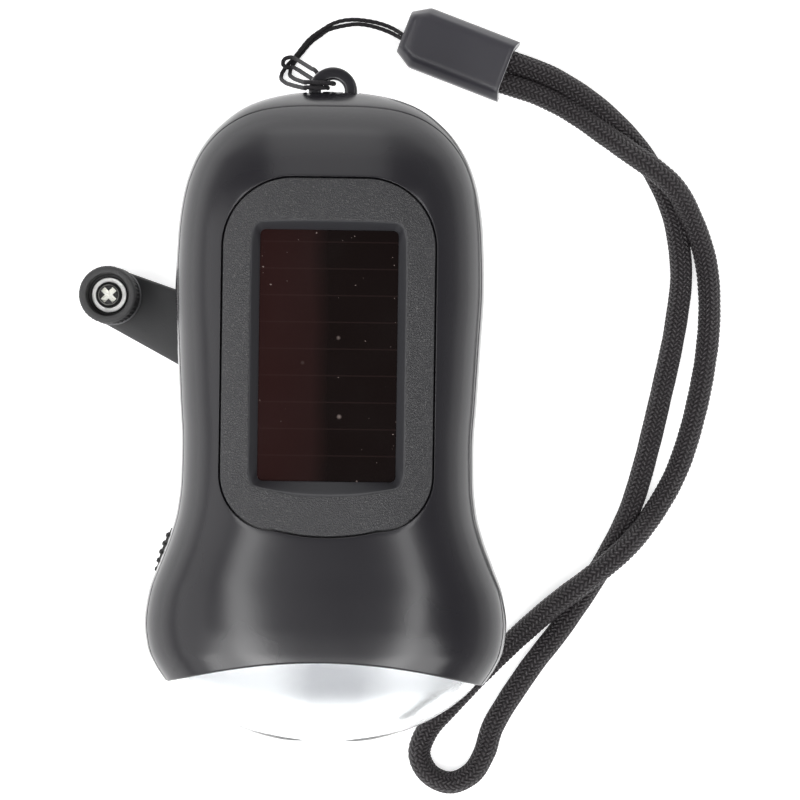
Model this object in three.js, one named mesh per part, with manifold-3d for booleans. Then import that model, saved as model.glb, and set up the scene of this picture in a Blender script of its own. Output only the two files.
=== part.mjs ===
// Hand crank flashlight lying on its crank, front face up.
// Origin: on the crank axis, in the plane that the crank hub rests on.
// +X to the right of the front face, +Y to the tail, +Z out of the front face. Millimetres.
import * as THREE from 'three';
import { mergeVertices } from 'three/addons/utils/BufferGeometryUtils.js';
import Module from 'manifold-3d';

const wasm = await Module();
wasm.setup();

// Clearances
const GAP = 0.3;
const CUT = 2;
const RUN = 0.2;
const WELD = 0.00001;

// Casing
const BODY_LENGTH = 100;
const BODY_WIDTH = 61.2;
const TAIL_Y = 51.4;
const EQUATOR_Z = 31;
const FRONT_RISE = 15;
const BACK_DROP = 13.8;
const WALL = 2.2;
const SEAM_RISE = 6;
const RIM_ARCH = 2.8;
const RIM_LIP = 1;
const LENS_SEAT = 3;
const LENS_FIT = 0.4;

// Lens and lamp
const LENS_BULGE = 10.6;
const LENS_WALL = 1.5;
const REFLECTOR_DEPTH = 12;
const REFLECTOR_WALL = 1;
const REFLECTOR_BACK_WIDTH = 34;
const REFLECTOR_BACK_HEIGHT = 15;
const LED_R = 2.5;
const LED_LENGTH = 6;
const LED_PITCH = 10;
const LED_FLANGE_R = 2.9;
const LED_FLANGE = 1;
const LED_BOARD_WIDTH = 36;
const LED_BOARD_HEIGHT = 13;
const BOARD_THICK = 1.5;
const MAIN_BOARD_HALF_WIDTH = 13;
const MAIN_BOARD_LOW_Y = -18;
const MAIN_BOARD_TOP_Y = 19;

// Front panel
const PANEL_HALF_WIDTH = 17.6;
const PANEL_TOP_Y = 35.9;
const PANEL_LOW_Y = -23.4;
const PANEL_TOP_R = 11.5;
const PANEL_LOW_R = 9;
const PANEL_LOW_CROWN = 2.2;
const PANEL_THICK = 1;
const RECESS_HALF_WIDTH = 13.6;
const RECESS_TOP_Y = 28.9;
const RECESS_LOW_Y = -17.6;
const RECESS_R = 1.4;
const GLASS_HALF_WIDTH = 11.5;
const GLASS_TOP_Y = 27.4;
const GLASS_LOW_Y = -14.4;
const GLASS_SINK = 3;
const TRAY_WALL = 1.6;
const CELL_LAP = 0.8;
const CELL_THICK = 1.8;
const PAD_THICK = 1.2;

// Gearbox bulge on the back
const PAD_Z = 8.7;
const BULGE_HALF_WIDTH = 20.5;
const BULGE_HALF_LENGTH = 34.5;
const BULGE_TOP_Z = 22;

// Crank
const HUB_R = 14;
const HUB_HEIGHT = 8;
const SHAFT_R = 3;
const ARM_ANGLE = 156.5 * Math.PI / 180;
const CRANK_RADIUS = 42.5;
const ARM_THICK = 4.5;
const ARM_ROOT_WIDTH = 17;
const ARM_END_WIDTH = 9.9;
const ARM_BACK = 2.2;
const SLOT_HEIGHT = 5.8;
const HINGE_R = 1;
const HINGE_LENGTH = 22;
const KNOB_R = 5.1;
const KNOB_HEIGHT = 11.7;
const KNOB_BORE_R = 1.6;
const COUNTERBORE_R = 3.7;
const COUNTERBORE = 4.8;
const KNOB_EDGE = 0.6;
const SCREW_SHANK_R = 1.2;
const KNOB_SCREW_HEAD_R = 2.2;
const KNOB_SCREW_HEAD = 1.3;
const KNOB_SCREW_GRIP = 3.2;
const WASHER_R = 2.96;
const WASHER_THICK = 0.5;

// Gears
const PRESSURE_ANGLE = 25 * Math.PI / 180;
const BACKLASH = 0.16;
const ADDENDUM_RATIO = 0.8;
const DEDENDUM_RATIO = 1.15;
const FIRST_MODULE = 0.7;
const NEXT_MODULE = 0.6;
const DRIVE_TEETH = 36;
const SECOND_TEETH = 32;
const THIRD_TEETH = 28;
const PINION_TEETH = 10;
const GEAR_THICK = 2;
const STAGE_GAP = 0.8;
const AXLE_R = 1;
const PLATE_THICK = 1.5;
const PLATE_HALF_WIDTH = 16.3;
const PLATE_LOW_Y = -22;
const PLATE_TOP_Y = 26;
const PLATE_CORNER_R = 12;
const POST_R = 2.4;
const PLATE_SCREW_R = 0.8;
const PLATE_SCREW_HEAD_R = 2;
const PLATE_SCREW_HEAD = 1.2;
const PLATE_SCREW_GRIP = 5;
const POST_X = 13.5;
const RIGHT_POST_Y = 12;
const LEFT_POST_Y = 17;
const LOW_POST_Y = -18;
const POST_PLACES = [
  { x: POST_X, y: RIGHT_POST_Y },
  { x: -POST_X, y: LEFT_POST_Y },
  { x: 0, y: LOW_POST_Y },
];
const HUB_SCREW_R = 1.2;
const HUB_SCREW_HEAD_R = 4.4;
const HUB_SCREW_HEAD = 1.1;
const HUB_SCREW_GRIP = 5;
const ROTOR_SHAFT_TOP = 0.4;
const SECOND_BEARING = 90 * Math.PI / 180;
const THIRD_BEARING = -129.5 * Math.PI / 180;
const ROTOR_BEARING = -13 * Math.PI / 180;
const MAGNET_R = 7;
const MAGNET_HEIGHT = 6;
const COIL_R = 10.5;
const COIL_BORE_R = 7.8;
const COIL_HEIGHT = 7;

// Switch on the left side wall
const SWITCH_SET_IN = 21.6;
const SWITCH_Y = TAIL_Y - BODY_LENGTH + SWITCH_SET_IN;
const SWITCH_Z = 30.2;
const SWITCH_ANGLE = -107.5 * Math.PI / 180;
const SWITCH_LENGTH = 8.5;
const SWITCH_HEIGHT = 4.6;
const SWITCH_TRAVEL = 3;
const SWITCH_PROUD = 0.7;
const SWITCH_RIDGES = 5;
const RIDGE_WIDTH = 1;
const RIDGE_HEIGHT = 0.5;
const SWITCH_BODY_DEPTH = 4;
const SWITCH_SEAT = 3.1;
const SWITCH_FLANGE = 0.9;
const SWITCH_FLANGE_LAP = 1;
const SWITCH_BODY_AFT = 5;
const SWITCH_BODY_FORE = 7.5;

// Cells, case screws
const CELL_COUNT = 3;
const CELL_R = 7;
const CELL_LENGTH = 5.8;
const CELLS_LOW_Y = 20.5;
const CELL_RISE = 1;
const HOLDER_HALF_WIDTH = 9;
const HOLDER_FOOT_HALF_WIDTH = 5;
const HOLDER_LOW_Z = 22.3;
const HOLDER_END = 0.8;
const FOOT_LOW_Y = 27;
const CASE_SCREW_R = 1.2;
const CASE_SCREW_HEAD_R = 2.4;
const CASE_SCREW_HEAD = 1.6;
const CASE_SCREW_DEPTH = 3;
const BOSS_R = 3;
const TAIL_BOSS_X = 14.5;
const TAIL_BOSS_SET_IN = 11.9;
const HEAD_BOSS_X = 19;
const HEAD_BOSS_SET_IN = 27.6;
const SCREW_PLACES = [
  { x: -TAIL_BOSS_X, y: TAIL_Y - TAIL_BOSS_SET_IN },
  { x: TAIL_BOSS_X, y: TAIL_Y - TAIL_BOSS_SET_IN },
  { x: -HEAD_BOSS_X, y: TAIL_Y - BODY_LENGTH + HEAD_BOSS_SET_IN },
  { x: HEAD_BOSS_X, y: TAIL_Y - BODY_LENGTH + HEAD_BOSS_SET_IN },
];

// Lanyard
const EYELET_R = 4.1;
const EYELET_HOLE_R = 2;
const EYELET_THICK = 2.4;
const EYELET_ROOT = 3;
const THIN_CORD = 0.76;
const WRIST_CORD = 3.75;
const SLEEVE_LENGTH = 19.5;
const SLEEVE_WIDTH = 11.3;
const SLEEVE_HEIGHT = 5.6;
const SLEEVE_X = 21.4;
const SLEEVE_Y = 60.7;
const SLEEVE_ANGLE = -20.4 * Math.PI / 180;
const SLEEVE_CHAMFER = 3.2;
const SLEEVE_WALL = 0.7;
const SLEEVE_POCKET = 6;
const SLEEVE_EDGE = 1.4;
const CORD_SIDES = 8;

// Share of the body's length from the tail, then half width, front rise and back drop
// as shares of their largest values.
const BODY_SHARES = [
  [0.012, 0.34, 0.22, 0.2],
  [0.029, 0.484, 0.4, 0.34],
  [0.055, 0.6, 0.58, 0.48],
  [0.085, 0.69, 0.72, 0.6],
  [0.125, 0.765, 0.84, 0.72],
  [0.18, 0.818, 0.925, 0.84],
  [0.25, 0.845, 0.965, 0.94],
  [0.334, 0.853, 0.98, 1],
  [0.43, 0.838, 0.985, 1],
  [0.52, 0.822, 0.985, 1],
  [0.6, 0.807, 0.985, 1],
  [0.66, 0.81, 0.985, 1],
  [0.71, 0.827, 0.988, 1],
  [0.755, 0.866, 0.99, 1],
  [0.8, 0.921, 0.995, 1],
  [0.85, 0.979, 1, 1],
  [0.9, 1, 0.995, 1],
  [0.942, 0.983, 0.978, 0.985],
  [0.972, 0.94, 0.953, 0.962],
  [1, 0.879, 0.92, 0.93],
];
const FRONT_POWER = 3;
const BACK_POWER = 2.5;

// Height share of the gearbox bulge, then the inset of its outline there as a share of its width
const BULGE_SHARES = [
  [0, 0.25],
  [0.03, 0.18],
  [0.13, 0.1],
  [0.29, 0.05],
  [0.5, 0.02],
  [1, 0],
];
const BULGE_POWER = 2.4;

// How far the lens bulge has grown at a share of the way in from the rim
const LENS_RING_SHARES = [0.95, 0.86, 0.72, 0.52, 0.27];
const LENS_POWER = 0.82;

const SECTION_POINTS = 28;
const headY = TAIL_Y - BODY_LENGTH;
const halfWidth = BODY_WIDTH / 2;
const seamZ = EQUATOR_Z + SEAM_RISE;

// Solids and meshes

function toManifold(geometry) {
  const bare = geometry.clone();
  bare.deleteAttribute('normal');
  bare.deleteAttribute('uv');
  const merged = mergeVertices(bare, WELD);
  return new wasm.Manifold(new wasm.Mesh({
    numProp: 3,
    vertProperties: new Float32Array(merged.attributes.position.array),
    triVerts: new Uint32Array(merged.index.array),
  }));
}

function toGeometry(solid) {
  const mesh = solid.getMesh();
  const geometry = new THREE.BufferGeometry();
  geometry.setAttribute('position', new THREE.BufferAttribute(mesh.vertProperties, 3));
  geometry.setIndex(new THREE.BufferAttribute(mesh.triVerts, 1));
  const flat = geometry.toNonIndexed();
  flat.computeVertexNormals();
  return flat;
}

function add(parent, name, shape, material) {
  const geometry = shape instanceof THREE.BufferGeometry ? shape : toGeometry(shape);
  const mesh = new THREE.Mesh(geometry, material);
  mesh.name = name;
  parent.add(mesh);
  return mesh;
}

function finish(color, roughness, metalness = 0) {
  return new THREE.MeshStandardMaterial({ color, roughness, metalness });
}

// A box between two corners
function block(low, high) {
  const size = new THREE.Vector3().subVectors(high, low);
  const box = new THREE.BoxGeometry(size.x, size.y, size.z);
  box.translate(low.x + size.x / 2, low.y + size.y / 2, low.z + size.z / 2);
  return toManifold(box);
}

// An outline in X and Y, raised from one height to another
function prism(shape, lowZ, highZ, curveSegments = 8) {
  const geometry = new THREE.ExtrudeGeometry(shape, {
    depth: highZ - lowZ,
    bevelEnabled: false,
    curveSegments,
  });
  geometry.translate(0, 0, lowZ);
  return toManifold(geometry);
}

function disc(radius, x, y, lowZ, highZ, segments = 24) {
  const geometry = new THREE.CylinderGeometry(radius, radius, highZ - lowZ, segments);
  geometry.rotateX(Math.PI / 2);
  geometry.translate(x, y, (lowZ + highZ) / 2);
  return toManifold(geometry);
}

// A turned solid about an axis along Z: the profile holds [radius, z] pairs from axis to axis
function turned(profile, x, y, segments = 24) {
  const points = profile.map(([radius, z]) => new THREE.Vector2(radius, z));
  const geometry = new THREE.LatheGeometry(points, segments);
  geometry.rotateX(Math.PI / 2);
  geometry.translate(x, y, 0);
  return orientOut(geometry);
}

// Rings of equal length between two poles, joined into one closed skin
function ringSolid(firstPole, rings, lastPole) {
  const positions = [];
  const count = rings[0].length;
  const push = (a, b, c) => {
    [a, b, c].forEach((p) => positions.push(p.x, p.y, p.z));
  };
  for (let j = 0; j < count; j += 1) {
    const k = (j + 1) % count;
    push(firstPole, rings[0][k], rings[0][j]);
    for (let i = 0; i + 1 < rings.length; i += 1) {
      push(rings[i][j], rings[i][k], rings[i + 1][k]);
      push(rings[i][j], rings[i + 1][k], rings[i + 1][j]);
    }
    const last = rings[rings.length - 1];
    push(lastPole, last[j], last[k]);
  }
  const geometry = new THREE.BufferGeometry();
  geometry.setAttribute('position', new THREE.Float32BufferAttribute(positions, 3));
  return orientOut(geometry);
}

// A solid whose faces point out, whichever way its skin was listed
function orientOut(geometry) {
  const bare = geometry.index ? geometry.toNonIndexed() : geometry;
  const p = bare.attributes.position;
  const a = new THREE.Vector3();
  const b = new THREE.Vector3();
  const c = new THREE.Vector3();
  let volume = 0;
  for (let i = 0; i < p.count; i += 3) {
    a.fromBufferAttribute(p, i);
    b.fromBufferAttribute(p, i + 1);
    c.fromBufferAttribute(p, i + 2);
    volume += a.dot(b.cross(c));
  }
  if (volume < 0) {
    for (let i = 0; i < p.count; i += 3) {
      a.fromBufferAttribute(p, i);
      b.fromBufferAttribute(p, i + 1);
      p.setXYZ(i, b.x, b.y, b.z);
      p.setXYZ(i + 1, a.x, a.y, a.z);
    }
  }
  return toManifold(bare);
}

function roundedOutline(halfX, lowY, highY, radius) {
  const shape = new THREE.Shape();
  shape.moveTo(-halfX + radius, lowY);
  shape.lineTo(halfX - radius, lowY);
  shape.absarc(halfX - radius, lowY + radius, radius, -Math.PI / 2, 0, false);
  shape.lineTo(halfX, highY - radius);
  shape.absarc(halfX - radius, highY - radius, radius, 0, Math.PI / 2, false);
  shape.lineTo(-halfX + radius, highY);
  shape.absarc(-halfX + radius, highY - radius, radius, Math.PI / 2, Math.PI, false);
  shape.lineTo(-halfX, lowY + radius);
  shape.absarc(-halfX + radius, lowY + radius, radius, Math.PI, Math.PI * 1.5, false);
  return shape;
}

// Casing skin

// Half width, front rise and back drop of the skin at a place along the body
function sizesAt(y) {
  const share = (TAIL_Y - y) / BODY_LENGTH;
  const rows = [[0, 0, 0, 0], ...BODY_SHARES];
  let i = 0;
  while (i + 2 < rows.length && rows[i + 1][0] < share) i += 1;
  const t = (share - rows[i][0]) / (rows[i + 1][0] - rows[i][0]);
  return [halfWidth, FRONT_RISE, BACK_DROP].map(
    (full, n) => full * THREE.MathUtils.lerp(rows[i][n + 1], rows[i + 1][n + 1], t),
  );
}

// One cross-section of the skin, moved in by the inset
function sectionAt(y, inset) {
  const [w, front, back] = sizesAt(y);
  const points = [];
  for (let j = 0; j < SECTION_POINTS; j += 1) {
    const angle = (j / SECTION_POINTS) * Math.PI * 2;
    const power = Math.sin(angle) >= 0 ? FRONT_POWER : BACK_POWER;
    const reach = Math.sin(angle) >= 0 ? front : back;
    const c = Math.sign(Math.cos(angle)) * Math.abs(Math.cos(angle)) ** (2 / power);
    const s = Math.sign(Math.sin(angle)) * Math.abs(Math.sin(angle)) ** (2 / power);
    points.push(new THREE.Vector3(
      c * Math.max(w - inset, GAP),
      y,
      EQUATOR_Z + s * Math.max(reach - inset, GAP),
    ));
  }
  return points;
}

// The casing's outer solid, or the space inside a wall of the given inset; it runs past the
// rim of the head, where the rim cut ends it
function bodySolid(inset) {
  const rings = BODY_SHARES
    .filter(([share]) => share * BODY_LENGTH > inset)
    .map(([share]) => sectionAt(TAIL_Y - share * BODY_LENGTH, inset));
  const last = rings[rings.length - 1];
  rings.push(last.map((p) => new THREE.Vector3(p.x, headY - CUT, p.z)));
  return ringSolid(
    new THREE.Vector3(0, TAIL_Y - inset, EQUATOR_Z),
    rings,
    new THREE.Vector3(0, headY - CUT, EQUATOR_Z),
  );
}

function bulgeSolid(inset) {
  const rings = [];
  const foot = PAD_Z + inset;
  BULGE_SHARES.forEach(([rise, pull]) => {
    const z = foot + rise * (BULGE_TOP_Z - foot);
    const halfX = BULGE_HALF_WIDTH * (1 - pull) - inset;
    const halfY = BULGE_HALF_LENGTH * (1 - pull) - inset;
    const ring = [];
    for (let j = 0; j < SECTION_POINTS; j += 1) {
      const angle = (j / SECTION_POINTS) * Math.PI * 2;
      const c = Math.sign(Math.cos(angle)) * Math.abs(Math.cos(angle)) ** (2 / BULGE_POWER);
      const s = Math.sign(Math.sin(angle)) * Math.abs(Math.sin(angle)) ** (2 / BULGE_POWER);
      ring.push(new THREE.Vector3(c * halfX, s * halfY, z));
    }
    rings.push(ring);
  });
  return ringSolid(
    new THREE.Vector3(0, 0, foot),
    rings,
    new THREE.Vector3(0, 0, BULGE_TOP_Z),
  );
}

// The rim is arched: further back on the centre line than at the sides
function rimY(x) {
  const edge = halfWidth * BODY_SHARES[BODY_SHARES.length - 1][1];
  return headY + RIM_ARCH * (1 - (x / edge) ** 2);
}

// Everything ahead of the rim, moved back by the offset
function rimCut(offset = 0) {
  const reach = halfWidth + CUT;
  const steps = 12;
  const shape = new THREE.Shape();
  shape.moveTo(-reach, headY - BODY_LENGTH);
  for (let i = 0; i <= steps; i += 1) {
    const x = -reach + (i / steps) * 2 * reach;
    shape.lineTo(x, rimY(x) + offset);
  }
  shape.lineTo(reach, headY - BODY_LENGTH);
  shape.closePath();
  return prism(shape, PAD_Z - CUT, EQUATOR_Z + FRONT_RISE + CUT);
}

function wholeBlock(lowZ, highZ) {
  const reach = BODY_LENGTH;
  return block(
    new THREE.Vector3(-reach, -reach, lowZ),
    new THREE.Vector3(reach, reach, highZ),
  );
}

// Front panel

function panelOutline(grow) {
  const halfX = PANEL_HALF_WIDTH + grow;
  const topY = PANEL_TOP_Y + grow;
  const lowY = PANEL_LOW_Y - grow;
  const topR = PANEL_TOP_R + grow;
  const lowR = PANEL_LOW_R + grow;
  const shape = new THREE.Shape();
  shape.moveTo(-halfX + lowR, lowY + PANEL_LOW_CROWN / 2);
  shape.quadraticCurveTo(0, lowY - PANEL_LOW_CROWN / 2, halfX - lowR, lowY + PANEL_LOW_CROWN / 2);
  shape.absarc(halfX - lowR, lowY + PANEL_LOW_CROWN / 2 + lowR, lowR, -Math.PI / 2, 0, false);
  shape.lineTo(halfX, topY - topR);
  shape.absarc(halfX - topR, topY - topR, topR, 0, Math.PI / 2, false);
  shape.lineTo(-halfX + topR, topY);
  shape.absarc(-halfX + topR, topY - topR, topR, Math.PI / 2, Math.PI, false);
  shape.lineTo(-halfX, lowY + PANEL_LOW_CROWN / 2 + lowR);
  shape.absarc(-halfX + lowR, lowY + PANEL_LOW_CROWN / 2 + lowR, lowR, Math.PI, Math.PI * 1.5, false);
  return shape;
}

const frontZ = EQUATOR_Z + FRONT_RISE;
const glassZ = frontZ - GLASS_SINK;
const cellHalfWidth = GLASS_HALF_WIDTH + CELL_LAP;
const cellTopY = GLASS_TOP_Y + CELL_LAP;
const cellLowY = GLASS_LOW_Y - CELL_LAP;
const trayHalfWidth = cellHalfWidth + GAP + TRAY_WALL;
const trayTopY = cellTopY + GAP + TRAY_WALL;
const trayLowY = cellLowY - GAP - TRAY_WALL;
const cellZ = glassZ - GAP - CELL_THICK;
const padZ = cellZ - GAP - PAD_THICK;
const trayZ = padZ;
const boardZ = trayZ - GAP - BOARD_THICK;

// The bevelled recess: from the glass window up to the wider outline at the skin
function recessSolid() {
  const ring = (halfX, lowY, topY, radius, z) => {
    const outline = roundedOutline(halfX, lowY, topY, radius).getPoints(3);
    outline.pop();
    return outline.map((p) => new THREE.Vector3(p.x, p.y, z));
  };
  const low = ring(GLASS_HALF_WIDTH, GLASS_LOW_Y, GLASS_TOP_Y, RECESS_R, glassZ - CUT);
  const window = ring(GLASS_HALF_WIDTH, GLASS_LOW_Y, GLASS_TOP_Y, RECESS_R, glassZ);
  const top = ring(RECESS_HALF_WIDTH, RECESS_LOW_Y, RECESS_TOP_Y, RECESS_R, frontZ);
  const slopeX = RECESS_HALF_WIDTH - GLASS_HALF_WIDTH;
  const above = ring(
    RECESS_HALF_WIDTH + slopeX,
    RECESS_LOW_Y - slopeX,
    RECESS_TOP_Y + slopeX,
    RECESS_R,
    frontZ + GLASS_SINK,
  );
  const middleY = (GLASS_TOP_Y + GLASS_LOW_Y) / 2;
  return ringSolid(
    new THREE.Vector3(0, middleY, glassZ - CUT),
    [low, window, top, above],
    new THREE.Vector3(0, middleY, frontZ + GLASS_SINK),
  );
}

function makeBezel(skin) {
  const plate = prism(panelOutline(0), EQUATOR_Z, frontZ + CUT)
    .intersect(skin)
    .subtract(bodySolid(PANEL_THICK));
  const tray = prism(
    roundedOutline(trayHalfWidth, trayLowY, trayTopY, RECESS_R),
    trayZ,
    frontZ + CUT,
    3,
  ).intersect(skin);
  const well = prism(
    roundedOutline(cellHalfWidth + GAP, cellLowY - GAP, cellTopY + GAP, RECESS_R),
    trayZ - CUT,
    glassZ,
    3,
  );
  return plate.add(tray).subtract(well).subtract(recessSolid());
}

function makeFrontShell(skin, inside) {
  const above = wholeBlock(seamZ + GAP / 2, frontZ + CUT);
  const pocket = prism(panelOutline(GAP), EQUATOR_Z, frontZ + CUT)
    .subtract(bodySolid(PANEL_THICK + GAP));
  const window = prism(
    roundedOutline(trayHalfWidth + GAP, trayLowY - GAP, trayTopY + GAP, RECESS_R),
    EQUATOR_Z,
    frontZ + CUT,
    3,
  );
  const bossRoom = bodySolid(PANEL_THICK + GAP * 2);
  let shell = skin.subtract(inside).subtract(pocket);
  SCREW_PLACES.forEach(({ x, y }) => {
    shell = shell.add(disc(BOSS_R, x, y, seamZ, frontZ, 12).intersect(bossRoom));
  });
  shell = shell.subtract(window).intersect(above);
  SCREW_PLACES.forEach(({ x, y }) => {
    shell = shell.subtract(disc(CASE_SCREW_R + GAP, x, y, seamZ - CUT, seamZ + CASE_SCREW_DEPTH, 12));
  });
  return shell.subtract(lensSeat()).subtract(rimCut());
}

// The thin lip that the lens sits in
function lensSeat() {
  return bodySolid(RIM_LIP).intersect(rimCut(LENS_SEAT));
}

// Foot of a case screw's counterbore: a little inside the back skin at its place
function screwSeatZ(x, y) {
  const [w, , back] = sizesAt(y);
  const drop = back * (1 - Math.min(1, Math.abs(x) / w) ** BACK_POWER) ** (1 / BACK_POWER);
  return EQUATOR_Z - drop + CASE_SCREW_HEAD + GAP;
}

function makeBackShell(skin, inside) {
  const below = wholeBlock(PAD_Z - CUT, seamZ - GAP / 2);
  let shell = skin.subtract(inside);
  SCREW_PLACES.forEach(({ x, y }) => {
    const boss = disc(BOSS_R + GAP, x, y, PAD_Z, seamZ, 12);
    shell = shell.add(boss.intersect(bodySolid(WALL / 2)));
  });
  const postRoom = bulgeSolid(WALL / 2);
  POST_PLACES.forEach(({ x, y }) => {
    shell = shell
      .add(disc(POST_R, x, y, PAD_Z, plateZ - GAP, 12).intersect(postRoom))
      .subtract(disc(PLATE_SCREW_R + GAP, x, y, plateZ - PLATE_SCREW_GRIP, plateZ, 12));
  });
  shell = shell.intersect(below);
  SCREW_PLACES.forEach(({ x, y }) => {
    const seat = screwSeatZ(x, y);
    shell = shell
      .subtract(disc(CASE_SCREW_R + GAP, x, y, PAD_Z, seamZ + CUT, 12))
      .subtract(disc(CASE_SCREW_HEAD_R + GAP, x, y, PAD_Z, seat, 16));
  });
  return shell
    .subtract(disc(SHAFT_R + GAP, 0, 0, PAD_Z - CUT, PAD_Z + WALL + CUT))
    .subtract(switchSlot())
    .subtract(eyeletShape(GAP))
    .subtract(lensSeat())
    .subtract(rimCut());
}

// Lens, reflector and lamp

// Points along the rim of the head, moved in by the inset and back by the offset; the rim's
// place and the section's width there settle in a few passes
function rimRing(inset, offset) {
  let ring = sectionAt(headY, inset);
  for (let pass = 0; pass < 4; pass += 1) {
    ring = ring.map((rough, j) => {
      const y = rimY(rough.x) + offset;
      return sectionAt(Math.max(y, headY), inset)[j].setY(y);
    });
  }
  return ring;
}

function makeLens() {
  const outerInset = RIM_LIP + LENS_FIT;
  const innerInset = outerInset + LENS_WALL;
  const apexY = headY - LENS_BULGE;
  const dome = (inset, topY) => {
    const edge = rimRing(inset, 0);
    return LENS_RING_SHARES.map((share) => edge.map((p) => {
      const grown = (1 - share ** 2) ** LENS_POWER;
      return new THREE.Vector3(
        p.x * share,
        THREE.MathUtils.lerp(p.y, topY, grown),
        THREE.MathUtils.lerp(EQUATOR_Z, p.z, share),
      );
    }));
  };
  const outer = dome(outerInset, apexY).reverse();
  const inner = dome(innerInset, apexY + LENS_WALL);
  return ringSolid(
    new THREE.Vector3(0, apexY, EQUATOR_Z),
    [
      ...outer,
      rimRing(outerInset, 0),
      rimRing(outerInset, LENS_SEAT - GAP),
      rimRing(innerInset, LENS_SEAT - GAP),
      rimRing(innerInset, 0),
      ...inner,
    ],
    new THREE.Vector3(0, apexY + LENS_WALL, EQUATOR_Z),
  );
}

const reflectorBackY = rimY(0) + REFLECTOR_DEPTH;

function makeReflector() {
  const inset = RIM_LIP + LENS_FIT + LENS_WALL + GAP;
  const backRing = (shrink, y) => sectionAt(headY, inset).map((p) => new THREE.Vector3(
    p.x * (REFLECTOR_BACK_WIDTH / 2 - shrink) / (halfWidth - inset),
    y,
    EQUATOR_Z + (p.z - EQUATOR_Z) * (REFLECTOR_BACK_HEIGHT / 2 - shrink) / (FRONT_RISE - inset),
  ));
  const bowl = (extra, backY) => {
    const front = rimRing(inset + extra, GAP);
    const back = backRing(extra, backY);
    const middle = front.map((p, j) => new THREE.Vector3(
      THREE.MathUtils.lerp(back[j].x, p.x, 0.7),
      THREE.MathUtils.lerp(back[j].y, p.y, 0.5),
      THREE.MathUtils.lerp(back[j].z, p.z, 0.7),
    ));
    return [back, middle, front];
  };
  const outer = bowl(0, reflectorBackY);
  const inner = bowl(REFLECTOR_WALL, reflectorBackY - REFLECTOR_WALL).reverse();
  let cup = ringSolid(
    new THREE.Vector3(0, reflectorBackY, EQUATOR_Z),
    [...outer, ...inner],
    new THREE.Vector3(0, reflectorBackY - REFLECTOR_WALL, EQUATOR_Z),
  );
  ledPlaces().forEach((x) => {
    cup = cup.subtract(alongY(LED_R + GAP, x, reflectorBackY - CUT, reflectorBackY + CUT, EQUATOR_Z));
  });
  return cup;
}

function ledPlaces() {
  return [-LED_PITCH, 0, LED_PITCH];
}

function alongY(radius, x, lowY, highY, z, segments = 16) {
  const geometry = new THREE.CylinderGeometry(radius, radius, highY - lowY, segments);
  geometry.translate(x, (lowY + highY) / 2, z);
  return toManifold(geometry);
}

const ledFlangeY = reflectorBackY + GAP;
const ledBoardY = ledFlangeY + LED_FLANGE + GAP;

// One lamp: a flange behind the reflector and a round-nosed body through its hole
function makeLed(x) {
  const noseSteps = 3;
  const profile = [[0, 0], [LED_FLANGE_R, 0], [LED_FLANGE_R, LED_FLANGE], [LED_R, LED_FLANGE]];
  for (let i = 0; i < noseSteps; i += 1) {
    const angle = (i / noseSteps) * (Math.PI / 2);
    profile.push([LED_R * Math.cos(angle), LED_LENGTH - LED_R + LED_R * Math.sin(angle)]);
  }
  profile.push([0, LED_LENGTH]);
  const points = profile.map(([radius, reach]) => new THREE.Vector2(radius, -reach));
  const geometry = new THREE.LatheGeometry(points, 12);
  geometry.translate(x, ledFlangeY + LED_FLANGE, EQUATOR_Z);
  return orientOut(geometry);
}

// The lamp board, notched where the switch body needs the room
function makeLedBoard() {
  const board = block(
    new THREE.Vector3(-LED_BOARD_WIDTH / 2, ledBoardY, EQUATOR_Z - LED_BOARD_HEIGHT / 2),
    new THREE.Vector3(LED_BOARD_WIDTH / 2, ledBoardY + BOARD_THICK, EQUATOR_Z + LED_BOARD_HEIGHT / 2),
  );
  return board.subtract(switchBodyRoom(GAP));
}

// Crank

// Pieces of the arm are made along +X from the crank axis, then turned to its bearing
function alongArm(solid) {
  return solid.rotate([0, 0, THREE.MathUtils.radToDeg(ARM_ANGLE)]);
}

const hingeZ = ARM_THICK / 2;
const knobX = CRANK_RADIUS * Math.cos(ARM_ANGLE);
const knobY = CRANK_RADIUS * Math.sin(ARM_ANGLE);
const knobZ = ARM_THICK + GAP;
const firstZ = PAD_Z + WALL + STAGE_GAP / 2;
const secondZ = firstZ + GEAR_THICK + STAGE_GAP;
const thirdZ = secondZ + GEAR_THICK + STAGE_GAP;
const plateZ = thirdZ + GEAR_THICK + STAGE_GAP;
const shaftTopZ = firstZ + GEAR_THICK;

function makeHub() {
  const slotHalf = ARM_ROOT_WIDTH / 2 + GAP;
  const slot = block(
    new THREE.Vector3(-HUB_R - CUT, -slotHalf, -CUT),
    new THREE.Vector3(HUB_R + CUT, slotHalf, SLOT_HEIGHT),
  );
  const pinHole = alongY(HINGE_R + GAP, 0, -HINGE_LENGTH / 2 - GAP, HINGE_LENGTH / 2 + GAP, hingeZ, 12);
  const turnedHub = disc(HUB_R, 0, 0, 0, HUB_HEIGHT, 48)
    .subtract(slot)
    .subtract(pinHole)
    .add(disc(SHAFT_R, 0, 0, HUB_HEIGHT - GAP, shaftTopZ))
    .subtract(disc(HUB_SCREW_R + GAP, 0, 0, shaftTopZ - HUB_SCREW_GRIP, shaftTopZ + CUT, 12));
  return alongArm(turnedHub);
}

function makeHingePin() {
  return alongArm(alongY(HINGE_R, 0, -HINGE_LENGTH / 2, HINGE_LENGTH / 2, hingeZ, 12));
}

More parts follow.
